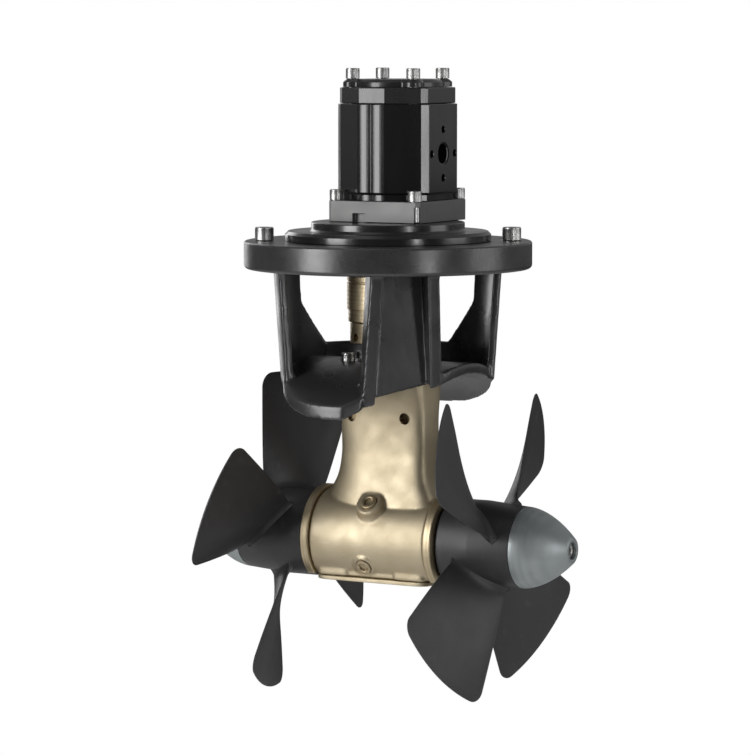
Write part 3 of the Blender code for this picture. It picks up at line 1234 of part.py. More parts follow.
def blade(name, side, azimuth):
    """A broad fan-shaped blade, thickest at its root and mid chord, with round tip
    corners and a gently convex tip edge."""
    columns, rows = 6, 5
    root = 0.86 * PROP_HUB_RADIUS_OUTER
    shape = bmesh.new()
    faces = {}
    for sign in (-1, 1):
        grid = []
        for i in range(columns + 1):
            u = math.sin(0.5 * math.pi * (2 * i / columns - 1))
            edge = PROP_TIP_RADIUS - BLADE_CORNER * (PROP_TIP_RADIUS - root) * abs(u) ** BLADE_CORNER_POWER
            column = []
            for j in range(rows + 1):
                share = math.sin(0.5 * math.pi * (j / rows)) if j else 0.0
                radius = root + (edge - root) * share
                spread = (radius - root) / (PROP_TIP_RADIUS - root)
                chord = BLADE_ROOT_CHORD + (BLADE_TIP_CHORD - BLADE_ROOT_CHORD) * spread ** BLADE_SPREAD_POWER
                thick = BLADE_ROOT_THICKNESS + (BLADE_TIP_THICKNESS - BLADE_ROOT_THICKNESS) * spread
                half = 0.5 * max(BLADE_EDGE, thick * (1 - u * u) ** 0.6)
                half *= math.sqrt(max(0.0, 1 - 0.85 * share ** 12))
                half = max(half, 0.5 * BLADE_EDGE)
                point, normal = blade_point(radius, 0.5 * chord * u, side, azimuth)
                column.append(shape.verts.new(point + sign * half * normal))
            grid.append(column)
        faces[sign] = grid
    back, front = faces[-1], faces[1]
    for grid in (back, front):
        for i in range(columns):
            for j in range(rows):
                shape.faces.new((grid[i][j], grid[i + 1][j], grid[i + 1][j + 1], grid[i][j + 1]))
    rim = [(i, 0) for i in range(columns)] + [(columns, j) for j in range(rows)]
    rim += [(i, rows) for i in range(columns, 0, -1)] + [(0, j) for j in range(rows, 0, -1)]
    for (i, j), (k, m) in zip(rim, rim[1:] + rim[:1]):
        shape.faces.new((back[i][j], back[k][m], front[k][m], front[i][j]))
    return from_bmesh(name, shape)


def propeller(name, side, first_azimuth):
    """Composite propeller: a tapered hub with four blades, bored for shaft, pin and nut."""
    face, end = PROP_FACE, PROP_END
    ease = 2.0 * MM
    taper_from = face + 0.45 * PROP_HUB_LENGTH
    profile = [
        (0, face), (PROP_HUB_RADIUS_INNER - ease, face), (PROP_HUB_RADIUS_INNER, face + ease),
        (PROP_HUB_RADIUS_INNER, taper_from), (PROP_HUB_RADIUS_OUTER, end), (0, end),
    ]
    hub = turned(f"{name}_propeller", profile, "composite", SIDES_MEDIUM)
    place(hub, along_x(side))
    blades = [
        blade(f"{name} blade {i}", side, first_azimuth + 360.0 * i / PROP_BLADES)
        for i in range(PROP_BLADES)
    ]
    join(hub, *blades)
    bore = cylinder("bore", PROP_SHAFT_RADIUS + SEAT_GAP, face - OVERLAP, end + OVERLAP, sides=SIDES_SMALL)
    nut_bore = cylinder("nut bore", NUT_RADIUS + OVERLAP, end - NUT_HEIGHT - SEAT_GAP, end + OVERLAP,
                        sides=SIDES_SMALL)
    slot_half = 0.5 * DRIVE_PIN_LENGTH + SEAT_GAP
    width = DRIVE_PIN_RADIUS + SEAT_GAP
    slot = box("pin slot", (-slot_half, -width, face - OVERLAP), (slot_half, width, pin_station() + width))
    cutters = [place(cutter, along_x(side)) for cutter in (bore, nut_bore, slot)]
    return smooth(cut(hub, *cutters), 50.0)


def propeller_nut(name, side):
    """Hexagon nut that holds the propeller on its shaft."""
    foot = PROP_END - NUT_HEIGHT + SEAT_GAP
    nut = cylinder(f"{name}_propeller_nut", NUT_RADIUS, foot, foot + NUT_HEIGHT, "stainless", 6)
    cut(nut, cylinder("bore", PROP_SHAFT_THREAD_RADIUS + SEAT_GAP, foot - OVERLAP, foot + 2 * NUT_HEIGHT,
                      sides=SIDES_SMALL))
    return place(nut, along_x(side))


def nose_profile(steps=5):
    """The bullet outline of the nose: radius falls from base to tip as a long curve."""
    points = []
    for i in range(steps + 1):
        share = i / steps
        radius = NOSE_TIP_RADIUS + (PROP_HUB_RADIUS_OUTER - NOSE_TIP_RADIUS) * (1 - share ** 1.75)
        points.append((radius, NOSE_FOOT + NOSE_LENGTH * share))
    return points


def nose_anode(name, side):
    """Zinc nose cone over the nut, held by one screw through its tip."""
    profile = [(0, NOSE_FOOT), *nose_profile(), (0, NOSE_END)]
    nose = turned(f"{name}_nose_anode", profile, "zinc", SIDES_MEDIUM)
    socket = cylinder("socket", NOSE_SOCKET_RADIUS, NOSE_FOOT - OVERLAP, NOSE_FOOT + NOSE_SOCKET_DEPTH,
                      sides=SIDES_SMALL)
    screw = cylinder("screw", NOSE_SCREW_RADIUS + SEAT_GAP, NOSE_FOOT, NOSE_END, sides=SIDES_SCREW)
    sink = cylinder("sink", NOSE_SCREW_HEAD + OVERLAP, nose_screw_seat() - SEAT_GAP, NOSE_END + OVERLAP,
                    sides=SIDES_SMALL)
    return smooth(place(cut(nose, socket, screw, sink), along_x(side)))


def nose_screw_seat():
    """Where the head of the nose screw bears."""
    return NOSE_END - NOSE_SCREW_HEAD_HEIGHT - NOSE_SCREW_RECESS


def nose_screw(name, side):
    """Socket screw through the nose into the end of the shaft."""
    seat = nose_screw_seat()
    length = seat - (PROP_END + 0.5 * NOSE_SOCKET_DEPTH) + NOSE_SCREW_GRIP
    screw = socket_screw(f"{name}_anode_screw", NOSE_SCREW_RADIUS, length, NOSE_SCREW_HEAD,
                         NOSE_SCREW_HEAD_HEIGHT, (0, 0, 0))
    return place(screw, along_x(side) @ Matrix.Translation((0, 0, seat)))


def drive_side(name, side, first_azimuth):
    """Everything on one side of the leg."""
    bearing_carrier(name, side)
    bore = running_bore(PROP_SHAFT_RADIUS, SIDES_SMALL)
    ball_race = bearing(f"{name}_shaft_bearing", bore, HUB_BEARING_RADIUS, CARRIER_FACE, HUB_BEARING_WIDTH)
    smooth(place(ball_race, along_x(side)))
    seal = ring(f"{name}_shaft_seal", bore, SHAFT_SEAL_RADIUS,
                CARRIER_OUTER_FACE - SHAFT_SEAL_WIDTH + SEAT_GAP, CARRIER_OUTER_FACE, "rubber", SIDES_SMALL)
    smooth(place(seal, along_x(side)))
    propeller_shaft(name, side)
    drive_pin(name, side)
    crown_gear(name, side)
    propeller(name, side, first_azimuth)
    propeller_nut(name, side)
    nose_anode(name, side)
    nose_screw(name, side)


def parent_to_axis(axis_name, at, members):
    """An empty on a joint's axis that carries the pieces turning about it."""
    axis = bpy.data.objects.new(axis_name, None)
    bpy.context.scene.collection.objects.link(axis)
    axis.location = at
    bpy.context.view_layer.update()
    for member in members:
        piece = bpy.data.objects[member]
        piece.parent = axis
        piece.matrix_parent_inverse = axis.matrix_world.inverted()


def main():
    for obj in list(bpy.data.objects):
        bpy.data.objects.remove(obj)
    bracket()
    flange_bolts()
    adapter_disc()
    mounting_plate()
    plate_bolts()
    motor_body()
    motor_end_cap()
    motor_end_cover()
    tie_bolts()
    motor_gears()
    motor_shaft()
    motor_shaft_seal()
    coupling()
    input_shaft()
    input_pinion()
    input_bearings()
    gear_leg()
    leg_bolts()
    plug("filler_plug", PLUG_BOSS_REACH, Matrix.Rotation(math.radians(PLUG_BOSS_TILT), 4, "X"))
    plug("drain_plug", HUB_RADIUS, drain_turn())
    saddle_gasket()
    sump_cover()
    drive_side("right", 1, RIGHT_BLADE_AZIMUTH)
    drive_side("left", -1, LEFT_BLADE_AZIMUTH)
    parent_to_axis("input_axis", (0, 0, 0), [
        "motor_shaft", "motor_drive_gear", "coupling_upper_hub", "coupling_spider",
        "coupling_lower_hub", "input_shaft", "input_pinion",
    ])
    parent_to_axis("idler_axis", (0, IDLER_Y, 0), ["motor_idler_gear"])
    for name in ("right", "left"):
        pieces = ("crown_gear", "propeller_shaft", "drive_pin", "propeller", "propeller_nut",
                  "nose_anode", "anode_screw")
        parent_to_axis(f"{name}_propeller_axis", (0, 0, 0), [f"{name}_{piece}" for piece in pieces])


main()
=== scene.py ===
"""Looks of a twin-propeller bow thruster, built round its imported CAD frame.

Each sub-assembly is a class that holds its sizes in millimetres and builds its own
meshes from numpy grids. X runs to the right propeller, Y away from the viewer and Z up.
"""

import logging
import math
from dataclasses import dataclass, field
from enum import Enum
from itertools import product
from typing import Callable, Iterable, Mapping, Optional, Sequence, Union

import bmesh
import bpy
import numpy as np
from mathutils import Matrix, Vector


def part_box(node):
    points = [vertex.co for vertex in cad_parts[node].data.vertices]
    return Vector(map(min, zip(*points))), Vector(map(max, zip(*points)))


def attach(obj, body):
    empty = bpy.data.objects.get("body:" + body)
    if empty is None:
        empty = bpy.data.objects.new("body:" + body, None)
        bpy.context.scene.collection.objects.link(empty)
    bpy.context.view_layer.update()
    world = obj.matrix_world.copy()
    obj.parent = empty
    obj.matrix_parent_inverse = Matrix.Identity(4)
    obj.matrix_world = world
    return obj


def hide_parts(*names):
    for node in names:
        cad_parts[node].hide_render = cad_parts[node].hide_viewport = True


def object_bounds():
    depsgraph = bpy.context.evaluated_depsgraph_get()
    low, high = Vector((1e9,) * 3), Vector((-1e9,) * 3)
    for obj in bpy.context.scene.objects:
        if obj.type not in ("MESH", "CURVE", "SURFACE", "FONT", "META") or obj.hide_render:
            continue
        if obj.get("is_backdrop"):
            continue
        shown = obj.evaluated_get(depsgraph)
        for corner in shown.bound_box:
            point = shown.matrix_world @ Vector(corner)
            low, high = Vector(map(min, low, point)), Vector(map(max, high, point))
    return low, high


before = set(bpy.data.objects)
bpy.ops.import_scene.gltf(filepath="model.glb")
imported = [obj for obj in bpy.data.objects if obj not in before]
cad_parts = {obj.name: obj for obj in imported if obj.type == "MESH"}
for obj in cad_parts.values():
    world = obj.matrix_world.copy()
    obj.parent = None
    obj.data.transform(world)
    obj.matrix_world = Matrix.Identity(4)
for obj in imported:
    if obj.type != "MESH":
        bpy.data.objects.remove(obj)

MM = 0.001
WELD = 0.002
log = logging.getLogger("thruster")

Object = bpy.types.Object
Pair = tuple[float, float]
Triple = tuple[float, float, float]
Outline = Callable[[float], np.ndarray]


class Body(Enum):
    """The bodies of the frame that the pieces ride on."""

    FRAME = "thruster_frame"
    INPUT = "input_line"
    RIGHT = "right_propeller_line"
    LEFT = "left_propeller_line"


class Side(Enum):
    """The two ends of the hub: which way it points and how it is named."""

    RIGHT = 1
    LEFT = -1

    @property
    def prefix(self) -> str:
        """The word that starts the names of this side's nodes."""
        return self.name.lower()

    @property
    def body(self) -> Body:
        """The body that turns on this side."""
        return Body[self.name]


# Shader graphs


class Wire:
    """A shader value. Python's operators on it add Math nodes to its graph."""

    def __init__(self, graph: "Graph", socket: bpy.types.NodeSocket) -> None:
        """Keeps the socket and the graph that new nodes go into."""
        self.graph = graph
        self.socket = socket

    def maths(self, operation: str, first: "Value", second: "Value") -> "Wire":
        """One Math node on two values."""
        return self.graph.add("ShaderNodeMath", {0: first, 1: second}, {"operation": operation})

    def __add__(self, other: "Value") -> "Wire":
        """The sum of both."""
        return self.maths("ADD", self, other)

    def __sub__(self, other: "Value") -> "Wire":
        """This less the other."""
        return self.maths("SUBTRACT", self, other)

    def __rsub__(self, other: "Value") -> "Wire":
        """The other less this."""
        return self.maths("SUBTRACT", other, self)

    def __mul__(self, other: "Value") -> "Wire":
        """The product of both."""
        return self.maths("MULTIPLY", self, other)

    def __pow__(self, other: "Value") -> "Wire":
        """This to the power of the other."""
        return self.maths("POWER", self, other)


Value = Union[Wire, float, Sequence[float]]


class Graph:
    """The node tree of one material or of the world, with short ways to add to it."""

    def __init__(self, owner: Union[bpy.types.Material, bpy.types.World]) -> None:
        """Empties the owner's node tree."""
        owner.use_nodes = True
        self.tree = owner.node_tree
        self.tree.nodes.clear()

    def node(
        self,
        kind: str,
        sockets: Optional[Mapping[Union[str, int], Value]] = None,
        settings: Optional[Mapping[str, object]] = None,
    ) -> bpy.types.Node:
        """Adds a node.

        Args:
            kind: Blender's name of the node type.
            sockets: Values or wires for its inputs, by name or number.
            settings: The node's own settings, which are set first.

        Returns:
            The new node.
        """
        made = self.tree.nodes.new(kind)
        for key, setting in (settings or {}).items():
            setattr(made, key, setting)
        for key, value in (sockets or {}).items():
            if isinstance(value, Wire):
                self.tree.links.new(value.socket, made.inputs[key])
            else:
                made.inputs[key].default_value = value
        return made

    def wire(self, node: bpy.types.Node, output: Union[str, int] = 0) -> Wire:
        """An output of a node as a wire."""
        return Wire(self, node.outputs[output])

    def add(self, kind: str, *inputs: Mapping, output: Union[str, int] = 0) -> Wire:
        """Adds a node with its sockets and settings, and gives one of its outputs."""
        return self.wire(self.node(kind, *inputs), output)

    def end(self, shader: Wire, kind: str = "Material") -> None:
        """Ends the tree in the output of a material or of the world."""
        self.node(f"ShaderNodeOutput{kind}", {"Surface": shader})

    def place(self, stretch: Triple = (1.0, 1.0, 1.0)) -> Wire:
        """Object coordinates, stretched along each axis."""
        spot = self.add("ShaderNodeTexCoord", output="Object")
        return self.add("ShaderNodeMapping", {"Vector": spot, "Scale": stretch})

    def noise(self, size: float, detail: float = 2.0, stretch: Triple = (1.0, 1.0, 1.0)) -> Wire:
        """Cloudy noise from 0 to 1 whose lumps are about so many millimetres across."""
        sockets = {"Vector": self.place(stretch), "Scale": 1.0 / (size * MM), "Detail": detail}
        return self.add("ShaderNodeTexNoise", sockets)

    def specks(self, size: float) -> Wire:
        """Round cells of about so many millimetres: the distance from each cell's middle."""
        sockets = {"Vector": self.place(), "Scale": 1.0 / (size * MM)}
        return self.add("ShaderNodeTexVoronoi", sockets)

    def span(
        self, value: Wire, low: float, high: float, first: float = 0.0, second: float = 1.0
    ) -> Wire:
        """Maps low..high to first..second, and holds still outside."""
        names = ("Value", "From Min", "From Max", "To Min", "To Max")
        sockets = dict(zip(names, (value, low, high, first, second)))
        return self.add("ShaderNodeMapRange", sockets, {"clamp": True})

    def blend(self, share: Value, first: Value, second: Value) -> Wire:
        """A colour between two colours."""
        ends = [end if isinstance(end, Wire) else (*end, 1.0) for end in (first, second)]
        sockets = {0: share, 6: ends[0], 7: ends[1]}
        return self.add("ShaderNodeMix", sockets, {"data_type": "RGBA"}, output=2)

    def edge(self) -> Wire:
        """1 on outer edges, 0 on flats and in hollows."""
        return self.span(self.add("ShaderNodeNewGeometry", output="Pointiness"), 0.51, 0.58)

    def hollow(self) -> Wire:
        """1 in inner corners, 0 on flats and on outer edges."""
        bent = self.add("ShaderNodeNewGeometry", output="Pointiness")
        return self.span(bent, 0.42, 0.495, 1.0, 0.0)

    def round(self, x: Wire, y: Wire) -> Wire:
        """The distance from an axis: sqrt(x^2 + y^2)."""
        return (x * x + y * y) ** 0.5

    def rings(self, pitch: float, axis: str) -> Wire:
        """Tool marks round an axis: a wave that repeats each pitch along and across it."""
        parts = self.node("ShaderNodeSeparateXYZ", {0: self.place()})
        outward = self.round(*(self.wire(parts, name) for name in "XYZ" if name != axis))
        turns = (self.wire(parts, axis) + outward) * (2.0 * math.pi / (pitch * MM))
        return turns.maths("SINE", turns, 0.0) * 0.5 + 0.5

    def bump(self, height: Wire, depth: float) -> Wire:
        """A surface normal from a height of 0 to 1 that stands for so many millimetres."""
        sockets = {"Height": height, "Distance": depth * MM, "Strength": 1.0}
        return self.add("ShaderNodeBump", sockets)


# Finishes


@dataclass(frozen=True)
class Finish:
    """What every finish has: its slot in the record, colours, roughness and grain."""

    slot: str
    colour: Triple
    wear_and_edge_highlight: Triple
    roughness: float
    metallic: float = 0.0
    grain: float = 1.0
    grain_depth: float = 0.03
    label: str = ""

    def material(self) -> bpy.types.Material:
        """The finish as a material, made once."""
        name = "finish_" + (self.label or self.slot)
        made = bpy.data.materials.get(name)
        if made is None:
            made = bpy.data.materials.new(name)
            made.diffuse_color = (*self.colour, 1.0)
            self.dress(Graph(made))
        return made

    def lighter(self, factor: float) -> Triple:
        """The colour times a factor, at most white."""
        return tuple(min(1.0, factor * part) for part in self.colour)

    def rough(
        self, graph: Graph, share: Wire, less: float, more: float, ends: Pair = (0.3, 0.7)
    ) -> Wire:
        """The roughness, less where the share is low and more where it is high."""
        return graph.span(share, *ends, self.roughness - less, self.roughness + more)

    def skin(
        self,
        graph: Graph,
        colour: Wire,
        rough: Wire,
        height: Wire,
        more: Optional[Mapping[str, float]] = None,
    ) -> None:
        """Ends the graph in a surface.

        Args:
            graph: The material's graph.
            colour: The colour all over.
            rough: The roughness all over.
            height: The grain, in units of the grain's depth.
            more: Further constants for the shader's inputs.
        """
        graph.end(graph.add("ShaderNodeBsdfPrincipled", {
            "Base Color": colour,
            "Roughness": rough,
            "Metallic": self.metallic,
            "Normal": graph.bump(height, self.grain_depth),
            **(more or {}),
        }))

    def dress(self, graph: Graph) -> None:
        """Plain grain and cloudy colour. Each finish below has its own."""
        cloud = graph.noise(18.0, 4.0)
        rough = graph.span(cloud, 0.3, 0.7, self.roughness * 0.88, self.roughness * 1.12)
        colour = graph.blend(cloud, self.colour, self.wear_and_edge_highlight)
        self.skin(graph, colour, rough, graph.noise(self.grain, 3.0))


@dataclass(frozen=True)
class CastPaint(Finish):
    """Satin paint over a sand casting: soft lumps, fine peel, and lighter edges that are partly
    thin paint and partly painted highlight.
    """

    lump: float = 9.0
    lump_depth: float = 0.12
    cloud: float = 26.0
    chip: float = 5.0

    def dress(self, graph: Graph) -> None:
        """Cast lumps under a fine peel, with lighter edges in chipped patches: partly thin paint,
        partly painted highlight.
        """
        cloud = graph.noise(self.cloud, 4.0)
        # Lighter outer edges in chipped patches: partly worn paint, partly painted highlight.
        thin = graph.edge() * graph.span(graph.noise(self.chip, 4.0), 0.35, 0.65, 0.25)
        body = graph.blend(cloud, self.colour, self.lighter(1.35))
        colour = graph.blend(thin * 0.7, body, self.wear_and_edge_highlight)
        lumps = graph.noise(self.lump) * (self.lump_depth / self.grain_depth)
        rough = self.rough(graph, cloud, 0.05, 0.06)
        relief = lumps + graph.noise(self.grain)
        self.skin(graph, colour, rough, relief, {"Specular IOR Level": 0.85})


@dataclass(frozen=True)
class GlossPaint(Finish):
    """Thick black gloss paint: slow waves that bend the lamps, and faint wipe marks."""

    wipe: float = 22.0
    wave: float = 24.0

    def dress(self, graph: Graph) -> None:
        """Long upright waves with a little peel, and duller patches."""
        wipe = graph.noise(self.wipe, 5.0, (1.0, 1.0, 0.25))
        rough = self.rough(graph, wipe, 0.0, 0.1, (0.4, 0.7))
        waves = graph.noise(self.wave, 1.0, (1.0, 1.0, 0.3)) * 5.0
        # Outer edges blend towards the lighter colour.
        colour = graph.blend(graph.edge() * 0.5, self.colour, self.wear_and_edge_highlight)
        relief = waves + graph.noise(self.grain)
        self.skin(graph, colour, rough, relief, {"Coat Weight": 0.4, "Coat Roughness": 0.06})


@dataclass(frozen=True)
class CastBronze(Finish):
    """Blasted bronze: sandy grain, painted shade in its hollows, and edges lighter, partly wear and
    partly painted highlight.
    """

    painted_hollow_shade: Triple = (0.20, 0.145, 0.075)
    cloud: float = 20.0
    pit: float = 4.5
    lump: float = 7.0

    def dress(self, graph: Graph) -> None:
        """Sand grain and shallow pits; painted shade in hollows, pit middles a little darker, and
        edges lighter, partly wear and partly painted highlight.
        """
        cloud = graph.noise(self.cloud, 5.0)
        pits = graph.span(graph.specks(self.pit), 0.0, 0.28)
        body = graph.blend(graph.span(cloud, 0.3, 0.7), self.colour, self.wear_and_edge_highlight)
        # Painted shade: hollows, and a little of each pit's middle, blend towards a dark brown.
        hollow_shaded = graph.blend(graph.hollow() * 0.75 + (1.0 - pits) * 0.10, body, self.painted_hollow_shade)
        # Outer edges lighter: partly wear, partly painted highlight.
        colour = graph.blend(graph.edge() * 0.6, hollow_shaded, self.lighter(1.25))
        relief = graph.noise(self.grain, 3.0) + graph.noise(self.lump) * 1.4 + pits * 0.6
        self.skin(graph, colour, self.rough(graph, cloud, 0.05, 0.07), relief)


@dataclass(frozen=True)
class TurnedMetal(Finish):
    """Metal off the lathe: fine rings round an axis, with streaks that follow them."""

    axis: str = "Z"
    pitch: float = 0.9
    cloud: float = 12.0

    def dress(self, graph: Graph) -> None:
        """Rings in the normal, rings and clouds in the roughness and colour."""
        relief = graph.rings(self.pitch, self.axis) + graph.noise(self.grain)
        shade = graph.noise(self.cloud, 4.0) * 0.7 + graph.rings(self.pitch * 4.3, self.axis) * 0.3
        colour = graph.blend(graph.span(shade, 0.25, 0.75), self.colour, self.wear_and_edge_highlight)
        self.skin(graph, colour, self.rough(graph, shade, 0.06, 0.08, (0.2, 0.8)), relief)


@dataclass(frozen=True)
class Moulded(Finish):
    """Moulded plastic or rubber: a fine even texture, faint flow lines and scuffs."""

    flow: float = 34.0
    scuff: float = 7.0

    def dress(self, graph: Graph) -> None:
        """A fine texture, with scuffs that are lighter and duller."""
        flow = graph.noise(self.flow, 6.0)
        scuffs = graph.span(graph.noise(self.scuff, 6.0, (1.0, 0.4, 0.4)), 0.62, 0.74)
        body = graph.blend(flow, self.colour, self.lighter(1.4))
        # Scuffs and outer edges blend towards the lighter colour.
        colour = graph.blend(scuffs * 0.35 + graph.edge() * 0.5, body, self.wear_and_edge_highlight)
        rough = self.rough(graph, flow, 0.04, 0.06) + scuffs * 0.05
        self.skin(graph, colour, rough, graph.noise(self.grain) + flow * 2.0)


BLACK_CASTING = CastPaint(
    "black_casting", (0.021, 0.0203, 0.0215), (0.075, 0.073, 0.076), 0.30,
    grain=1.3, grain_depth=0.018)
TURNED_BLACK = CastPaint(
    "black_casting", (0.008, 0.0078, 0.008), (0.05, 0.05, 0.05), 0.21,
    grain=1.3, grain_depth=0.006, label="turned_black")
BLACK_GLOSS = GlossPaint(
    "black_gloss", (0.006, 0.006, 0.0065), (0.03, 0.03, 0.03), 0.14,
    grain=1.6, grain_depth=0.006)
SATIN_CAP = GlossPaint(
    "black_gloss", (0.014, 0.014, 0.0145), (0.05, 0.05, 0.05), 0.26,
    grain=1.6, grain_depth=0.006, label="satin_black")
GREY_PLATE = Finish(
    "grey_plate", (0.105, 0.108, 0.104), (0.150, 0.153, 0.148), 0.42, metallic=0.35,
    grain=0.8, grain_depth=0.02)
BRONZE = CastBronze(
    "bronze", (0.56, 0.483, 0.345), (0.525, 0.447, 0.31), 0.52, metallic=1.0,
    grain=1.1, grain_depth=0.05)
TURNED_BRONZE = TurnedMetal(
    "bronze", (0.56, 0.47, 0.315), (0.47, 0.39, 0.26), 0.44, metallic=1.0,
    grain_depth=0.012, label="turned_bronze", axis="X", pitch=0.8)
COUPLING_BRONZE = TurnedMetal(
    "coupling_bronze", (0.60, 0.50, 0.34), (0.42, 0.34, 0.22), 0.36, metallic=1.0,
    grain=1.2, grain_depth=0.02)
STEEL = TurnedMetal(
    "steel", (0.50, 0.50, 0.51), (0.38, 0.38, 0.39), 0.30, metallic=1.0, grain_depth=0.01)
STAINLESS = TurnedMetal(
    "stainless", (0.55, 0.55, 0.54), (0.46, 0.46, 0.45), 0.34, metallic=1.0, grain_depth=0.006)
ZINC = TurnedMetal(
    "zinc", (0.40, 0.43, 0.435), (0.35, 0.38, 0.385), 0.50, metallic=0.9,
    grain=1.2, grain_depth=0.02, axis="X", pitch=1.1)
COMPOSITE = Moulded(
    "composite", (0.0215, 0.021, 0.022), (0.065, 0.063, 0.066), 0.42,
    grain=0.9, grain_depth=0.012)
RUBBER = Moulded("rubber", (0.010, 0.010, 0.010), (0.04, 0.04, 0.04), 0.62, grain=0.8)
FINISHES = {finish.slot: finish for finish in (
    BLACK_CASTING, BLACK_GLOSS, GREY_PLATE, BRONZE, COUPLING_BRONZE,
    STEEL, STAINLESS, ZINC, COMPOSITE, RUBBER,
)}


# Surfaces as numpy grids, in millimetres


def foot(node: str) -> float:
    """The lowest level of a CAD node at rest."""
    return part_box(node)[0].z / MM


def top(node: str) -> float:
    """The highest level of a CAD node at rest."""
    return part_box(node)[1].z / MM


def middle(node: str) -> np.ndarray:
    """The centre of a CAD node's box at rest."""
    low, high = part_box(node)
    return np.array(0.5 * (low + high)) / MM


def grid_faces(number: np.ndarray) -> np.ndarray:
    """The quads between neighbouring rows and columns of point numbers."""
    corners = (number[:-1, :-1], number[:-1, 1:], number[1:, 1:], number[1:, :-1])
    return np.stack(corners, axis=-1).reshape(-1, 4)


@dataclass
class Shell:
    """A closed surface: its points and the point numbers of its quads and triangles."""

    points: np.ndarray
    quads: np.ndarray
    triangles: np.ndarray

    @staticmethod
    def tube(rings: np.ndarray, loop: bool = False) -> "Shell":
        """Joins closed rings, each to the next.

        Args:
            rings: Points as (ring, place round the ring, xyz).
            loop: Whether the last ring joins the first. If not, a fan to the ring's
                middle closes each end.

        Returns:
            The shell.
        """
        count, around = rings.shape[:2]
        number = np.arange(count * around).reshape(count, around)
        number = np.hstack([number, number[:, :1]])
        if loop:
            number = np.vstack([number, number[:1]])
            return Shell(rings.reshape(-1, 3), grid_faces(number), np.zeros((0, 3), int))
        points = np.vstack([rings.reshape(-1, 3), rings[0].mean(0), rings[-1].mean(0)])
        fans = [
            np.stack([row[:-1], row[1:], np.full(around, count * around + i)], axis=-1)
            for i, row in enumerate((number[0], number[-1]))
        ]
        return Shell(points, grid_faces(number), np.vstack(fans))

    @staticmethod
    def slab(front: np.ndarray, back: np.ndarray) -> "Shell":
        """Joins two grids of the same size all round their rim.

        Args:
            front: Points as (row, column, xyz).
            back: The other face, in the same order.

        Returns:
            The shell.
        """
        rows, columns = front.shape[:2]
        near = np.arange(rows * columns).reshape(rows, columns)
        far = near + rows * columns
        sides = (near[0, :-1], near[:-1, -1], near[-1, :0:-1], near[:0:-1, 0], near[0, :1])
        loop = np.concatenate(sides)
        rim = grid_faces(np.stack([loop, loop + rows * columns]))
        points = np.vstack([front.reshape(-1, 3), back.reshape(-1, 3)])
        quads = np.vstack([grid_faces(near), grid_faces(far), rim])
        return Shell(points, quads, np.zeros((0, 3), int))

    def turned(self, matrix: np.ndarray) -> "Shell":
        """The shell turned by a 3 by 3 matrix."""
        return Shell(self.points @ np.asarray(matrix).T, self.quads, self.triangles)

    def moved(self, x: float = 0.0, y: float = 0.0, z: float = 0.0) -> "Shell":
        """The shell shifted."""
        return Shell(self.points + np.array((x, y, z)), self.quads, self.triangles)

    def cut_off(self, level: float) -> "Shell":
        """The shell with everything below a level brought up to it."""
        x, y, z = self.points.T
        return Shell(np.column_stack([x, y, np.maximum(z, level)]), self.quads, self.triangles)


def swing(degrees: float, axis: str) -> np.ndarray:
    """The matrix of a turn about an axis."""
    return np.array(Matrix.Rotation(math.radians(degrees), 3, axis))


def along_x(side: Side = Side.RIGHT) -> np.ndarray:
    """The matrix that lays +Z along +X, or along -X for the left side."""
    return swing(90.0 * side.value, "Y")


def circle(count: int) -> np.ndarray:
    """Angles once round, evenly apart."""
    return np.linspace(0.0, 2.0 * math.pi, count, endpoint=False)


def spots(*parts: np.ndarray) -> np.ndarray:
    """Coordinates put together as points, each spread over the shape of them all."""
    return np.stack(np.broadcast_arrays(*parts), axis=-1)


def unit(vectors: np.ndarray) -> np.ndarray:
    """Vectors made one long. A vector of no length stays as it is."""
    length = np.linalg.norm(vectors, axis=-1, keepdims=True)
    return vectors / np.where(length < 1e-9, 1.0, length)


def rounded(corners: Sequence[Sequence[float]], closed: bool = False, steps: int = 6) -> np.ndarray:
    """An outline whose corners are arcs.

    Each arc touches both edges of its corner. Its centre lies on the corner's bisector,
    radius / sin(half angle) away, and its points swing evenly from one edge to the other.

    Args:
        corners: (u, v) or (u, v, radius) for each corner.
        closed: Whether the last corner joins the first.
        steps: Points on each arc.

    Returns:
        Points as (place, uv), steps of them for each corner.
    """
    at = np.array([corner[:2] for corner in corners], float)
    radius = np.array([corner[2] if len(corner) > 2 else 0.0 for corner in corners])
    if not closed:
        radius[[0, -1]] = 0.0
    before, after = unit(np.roll(at, 1, 0) - at), unit(np.roll(at, -1, 0) - at)
    half = 0.5 * np.arccos(np.clip((before * after).sum(1), -1.0, 1.0))
    half = np.clip(half, 1e-4, math.pi / 2 - 1e-4)
    centre = at + unit(before + after) * (radius / np.sin(half))[:, None]
    reach = (radius / np.tan(half))[:, None]
    first, last = at + before * reach - centre, at + after * reach - centre
    share = np.linspace(0.0, 1.0, steps)[None, :, None]
    sweep = (math.pi - 2.0 * half)[:, None, None]
    arc = np.sin((1 - share) * sweep) * first[:, None] + np.sin(share * sweep) * last[:, None]
    return (centre[:, None] + arc / np.sin(sweep)).reshape(-1, 2)


def revolve(profile: np.ndarray, sides: int = 96, loop: bool = False) -> Shell:
    """Turns (radius, height) points about Z. A loop profile gives a ring with a bore."""
    turn = circle(sides)
    radius, height = profile[:, :1], profile[:, 1:]
    return Shell.tube(spots(radius * np.cos(turn), radius * np.sin(turn), height), loop)


def bar(radius: float, low: float, high: float, sides: int = 48) -> Shell:
    """A plain round bar along Z between two levels."""
    return revolve(np.array([(radius, low), (radius, high)]), sides)


